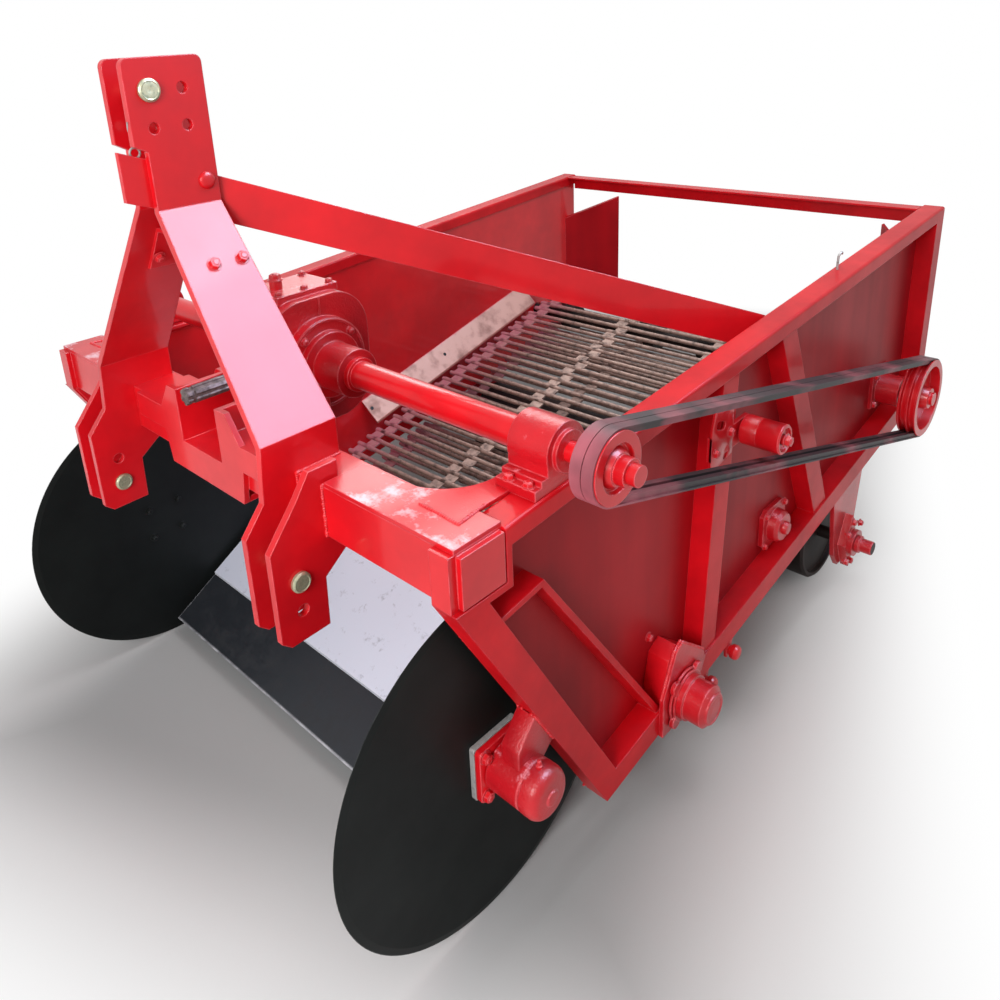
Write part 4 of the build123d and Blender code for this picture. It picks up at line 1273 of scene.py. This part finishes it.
@dataclass
class Frames:
    """Small parts on the side frames, and the weld seams."""

    hook: tuple[float, float] = (1390.0, 958.0)
    hook_x: float = 656.0
    hook_r: float = 9.0

    def build(self) -> None:
        """Bends the hook, lays black discs as painted shade where the strips' holes are, and lays the seams.
        """
        hook = Stock()
        x, r = self.hook_x, self.hook_r
        y, z = self.hook
        path = [(x, y, z - 6), (x, y - 2, z + 12), (x, y, z + 30)]
        arc = [(r * math.cos(k * math.pi / 8), r * math.sin(k * math.pi / 8)) for k in range(8)]
        path += [(x + v * 0.3, y + r - u, z + 34 + v) for u, v in arc]
        hook.round_bar(path, 3.0, 10)
        hook.piece("rail_hook", Surface.CUT, smooth=60)
        holes = Stock()
        # Painted shade: a thin black disc on each strip stands for the dark inside of a hole
        for side in (1, -1):
            for y, z in ((1249, 484), (900, 399)):
                shade_disc = [(-2, 0), (-2, 6), (0.9, 6), (0.9, 0)]
                holes.turn(shade_disc, (side * 622, y, z), (-side * 0.794, -0.144, 0.590), 20)
        holes.piece("strip_holes", Surface.BLACK, smooth=30)
        seat = [(545, 245), (590, 340), (612, 352), (700, 280), (712, 252)]
        right = [
            # The forks' cheeks and ears on the beam, its top first
            [(314.5, 1, 871), (314.5, 90, 871)],
            [(384.5, 1, 871), (384.5, 54, 871)],
            [(314.5, -1, 776), (314.5, -1, 870)],
            [(384.5, -1, 776), (384.5, -1, 870)],
            # The corner plate
            [(562, 57, 878), (648, 54, 878)],
            [(648, 54, 878), (640, 122, 878)],
            # The front bearing's seat
            [(703, y, z) for y, z in seat],
            [(708, y + 1, z) for y, z in seat[1:4]],
            # The hub's arm, on the nose member and on the housing
            *([(x, 160, 474), (x, 205, 396)] for x in (656, 664, 686, 694)),
            *([(x, 118, 400), (x, 160, 388)] for x in (660, 690)),
            # The sheet panel along the bottom rail and the nose member
            [(652, 350, 140), (652, 700, 199)],
            [(652, 40, 690), (652, 330, 190)],
        ]
        seams = [[(side * x, y, z) for x, y, z in seam] for side in (1, -1) for seam in right]
        WeldTool(3.4).lay("weld_seams", seams, Surface.RED)


@dataclass
class Studio:
    """Pale floor, soft light and the camera at the photograph's place."""

    eye_mm: tuple[float, float, float] = (1430.1, -692.8, 1558.1)
    azimuth: float = 46.1
    elevation: float = 19.2
    roll: float = -3.4
    focal_px: float = 845.1
    middle_px: tuple[float, float] = (450.0, 330.0)
    frame_px: float = 1000.0
    sensor_mm: float = 36.0
    floor_half: float = 60.0
    stand_middle: tuple[float, float] = (-0.384, 1.494)
    stand_half: tuple[float, float] = (0.75, 1.65)
    stand_turn: float = 20.0
    fade: tuple[float, float] = (0.10, 0.60)
    # The painted shadow on the floor, from darkest to plain, by distance past the rectangle's edge
    painted_shadow_span: tuple[float, float] = (-0.12, 0.22)

    def camera(self) -> None:
        """Places the camera by its azimuth, elevation and roll."""
        data = bpy.data.cameras.new("photo_camera")
        data.sensor_width = self.sensor_mm
        data.lens = self.focal_px / self.frame_px * self.sensor_mm
        data.shift_x = (self.frame_px / 2 - self.middle_px[0]) / self.frame_px
        data.shift_y = (self.middle_px[1] - self.frame_px / 2) / self.frame_px
        camera = stand("photo_camera", data)
        a, e, r = (math.radians(v) for v in (self.azimuth, self.elevation, self.roll))
        back = Vector((math.sin(a) * math.cos(e), -math.cos(a) * math.cos(e), math.sin(e)))
        right = (-back).cross(Vector((0, 0, 1))).normalized()
        up = right.cross(-back)
        turned_right = math.cos(r) * right + math.sin(r) * up
        turned_up = math.cos(r) * up - math.sin(r) * right
        axes = Matrix((turned_right, turned_up, back)).transposed()
        camera.matrix_world = Matrix.Translation(at(*self.eye_mm)) @ axes.to_4x4()
        bpy.context.scene.camera = camera

    def lamp(
        self,
        name: str,
        place: Vector,
        target: Vector,
        size: float,
        watts: float,
        gloss_only: bool = False,
        colour: tuple[float, float, float] = (1.0, 1.0, 1.0),
    ) -> None:
        """Hangs one soft square lamp.

        Args:
            name: The lamp's name.
            place: Where it hangs.
            target: What it points at.
            size: Its side, in metres.
            watts: Its power.
            gloss_only: Whether only glossy faces mirror it.
            colour: Its linear colour.
        """
        data = bpy.data.lights.new(name, "AREA")
        data.size = size
        data.energy = watts
        data.color = colour
        lamp = stand(name, data)
        lamp.location = place
        lamp.rotation_euler = (target - place).to_track_quat("-Z", "Y").to_euler()
        lamp.visible_diffuse = not gloss_only

    def seen(self, nodes: Nodes) -> bpy.types.Node:
        """Tells where the camera, gloss or glass looks from the light that falls on things.

        Args:
            nodes: The tree to add to.

        Returns:
            A node that gives 1 for a look and 0 for light.
        """
        ray = nodes.add("ShaderNodeLightPath").outputs
        both = {"operation": "ADD", "use_clamp": True}
        looked = nodes.add("ShaderNodeMath", {0: ray["Is Camera Ray"], 1: ray["Is Transmission Ray"]}, **both)
        return nodes.add("ShaderNodeMath", {0: looked, 1: ray["Is Glossy Ray"]}, **both)

    def floor(self) -> None:
        """Lays a pale floor with a painted shadow under the machine, that runs out of sight and fades to
        white with distance.
        """
        mesh = bpy.data.meshes.new("studio_floor")
        half, ground = self.floor_half, -SHAFT_Z
        corners = [(x * half, y * half, ground) for x, y in ((-1, -1), (1, -1), (1, 1), (-1, 1))]
        mesh.from_pydata(corners, [], [(0, 1, 2, 3)])
        floor = stand("studio_floor", mesh)
        material = bpy.data.materials.new("pale_studio_floor")
        material.use_nodes = True
        material.node_tree.nodes.clear()
        nodes = Nodes(material.node_tree)
        add = nodes.add
        place = add("ShaderNodeTexCoord").outputs["Object"]
        # How far a point lies outside the rectangle that the machine stands on
        turn = (0.0, 0.0, math.radians(self.stand_turn))
        centred = {"Vector": place, "Location": (*self.stand_middle, ground), "Rotation": turn}
        flat = add("ShaderNodeMapping", centred, vector_type="TEXTURE")
        mirrored = add("ShaderNodeVectorMath", {0: flat}, operation="ABSOLUTE")
        over = add("ShaderNodeVectorMath", {0: mirrored, 1: (*self.stand_half, 0.0)}, operation="SUBTRACT")
        outside = add("ShaderNodeVectorMath", {0: over, 1: (0.0, 0.0, 0.0)}, operation="MAXIMUM")
        away = add("ShaderNodeVectorMath", {0: outside}, operation="LENGTH")
        smooth = {"interpolation_type": "SMOOTHSTEP"}
        start, end = self.fade
        far = add("ShaderNodeMapRange", {"Value": away, "From Min": start, "From Max": end}, **smooth)
        white = add("ShaderNodeMath", {0: far, 1: self.seen(nodes)}, operation="MULTIPLY")
        # Painted shadow: the floor's colour is darkest well inside that rectangle, where soft light would
        # hardly reach it
        sides = add("ShaderNodeSeparateXYZ", {0: over}).outputs
        inside = add("ShaderNodeMath", {0: sides["X"], 1: sides["Y"]}, operation="MAXIMUM")
        start, end = self.painted_shadow_span
        shade = add("ShaderNodeMapRange", {"Value": inside, "From Min": start, "From Max": end}, **smooth)
        painted_shadow_tones = {"Factor": shade, "A": linear("A8A8A8"), "B": linear("DCDCDC")}
        matt = add("ShaderNodeBsdfDiffuse", {"Color": add("ShaderNodeMix", painted_shadow_tones, data_type="RGBA")})
        bright = add("ShaderNodeEmission", {"Color": linear("FFFFFF"), "Strength": 1.0})
        mix = add("ShaderNodeMixShader", {0: white, 1: matt, 2: bright})
        add("ShaderNodeOutputMaterial", {"Surface": mix})
        mesh.materials.append(material)

    def sky(self) -> None:
        """Lights the world evenly, and white where the camera, gloss or glass sees it."""
        world = bpy.data.worlds.new("studio")
        world.use_nodes = True
        world.node_tree.nodes.clear()
        nodes = Nodes(world.node_tree)
        lit, white = (
            nodes.add("ShaderNodeBackground", {"Color": linear("FFFFFF"), "Strength": strength})
            for strength in (0.38, 1.0)
        )
        mix = nodes.add("ShaderNodeMixShader", {0: self.seen(nodes), 1: lit, 2: white})
        nodes.add("ShaderNodeOutputWorld", {"Surface": mix})
        bpy.context.scene.world = world

    def build(self) -> None:
        """Sets up the whole studio."""
        bpy.context.scene.view_settings.view_transform = "Standard"
        self.camera()
        self.sky()
        self.floor()
        self.lamp("key", at(1300, -2300, 2050), at(0, 400, 600), 1.3, 76)
        self.lamp("top", at(450, 1100, 3100), at(0, 1000, 500), 1.6, 34)
        self.lamp("gloss_front", at(1728, 1520, 3205), at(250, 0, 1150), 2.0, 265, True, (0.62, 0.72, 1.0))
        self.lamp("gloss_rear", at(-1940, 2326, 2958), at(200, 300, 850), 1.6, 60, True)
        LOG.info("studio: camera, floor, sky and lamps")


# The finish of each CAD node, by the start of its name; the others are plain red
CAD_FINISH: dict[Surface, tuple[str, ...]] = {
    Surface.FRAME: ("side_frame", "rear_cross_angle"),
    # Painted shade: only the near, right side panel gets the darker sheet enamel; the left one stays plain
    # red
    Surface.SHEET: ("side_panel_right", "deflector"),
    Surface.CAST: (
        "gearbox", "shaft_bearing", "disc_housing", "front_bearing", "mid_bearing", "rear_bearing",
        "drum_hanger",
    ),
    # Corner plates: chalky patches on top, partly scuffs, partly painted highlights
    Surface.SCUFFED: ("corner_plate",),
    Surface.BLACK: ("disc_left", "disc_right"),
    Surface.DRUM: ("rear_drum", "web_front_roller", "web_rear_roller", "web_mid_roller"),
    Surface.BLADE: ("share_blade",),
    Surface.PLATE: ("share_plate",),
    Surface.STRIP: ("side_strip",),
    Surface.RUBBER: ("v_belt",),
}


def main() -> None:
    """Builds the studio, dresses every CAD piece and adds the fine work."""
    logging.basicConfig(level=logging.INFO, format="%(name)s: %(message)s")
    Studio().build()
    for node in sorted(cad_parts):
        chosen = next((s for s, names in CAD_FINISH.items() if node.startswith(names)), Surface.RED)
        dress(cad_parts[node].data, chosen)
    bolts = BoltTool()
    Headstock(bolts).build()
    Drive(bolts).build()
    for side in (1, -1):
        DiscGang(bolts, side).build()
        Bearings(bolts, side).build()
    RodWeb().build()
    Frames().build()


if __name__ == "__main__":
    main()
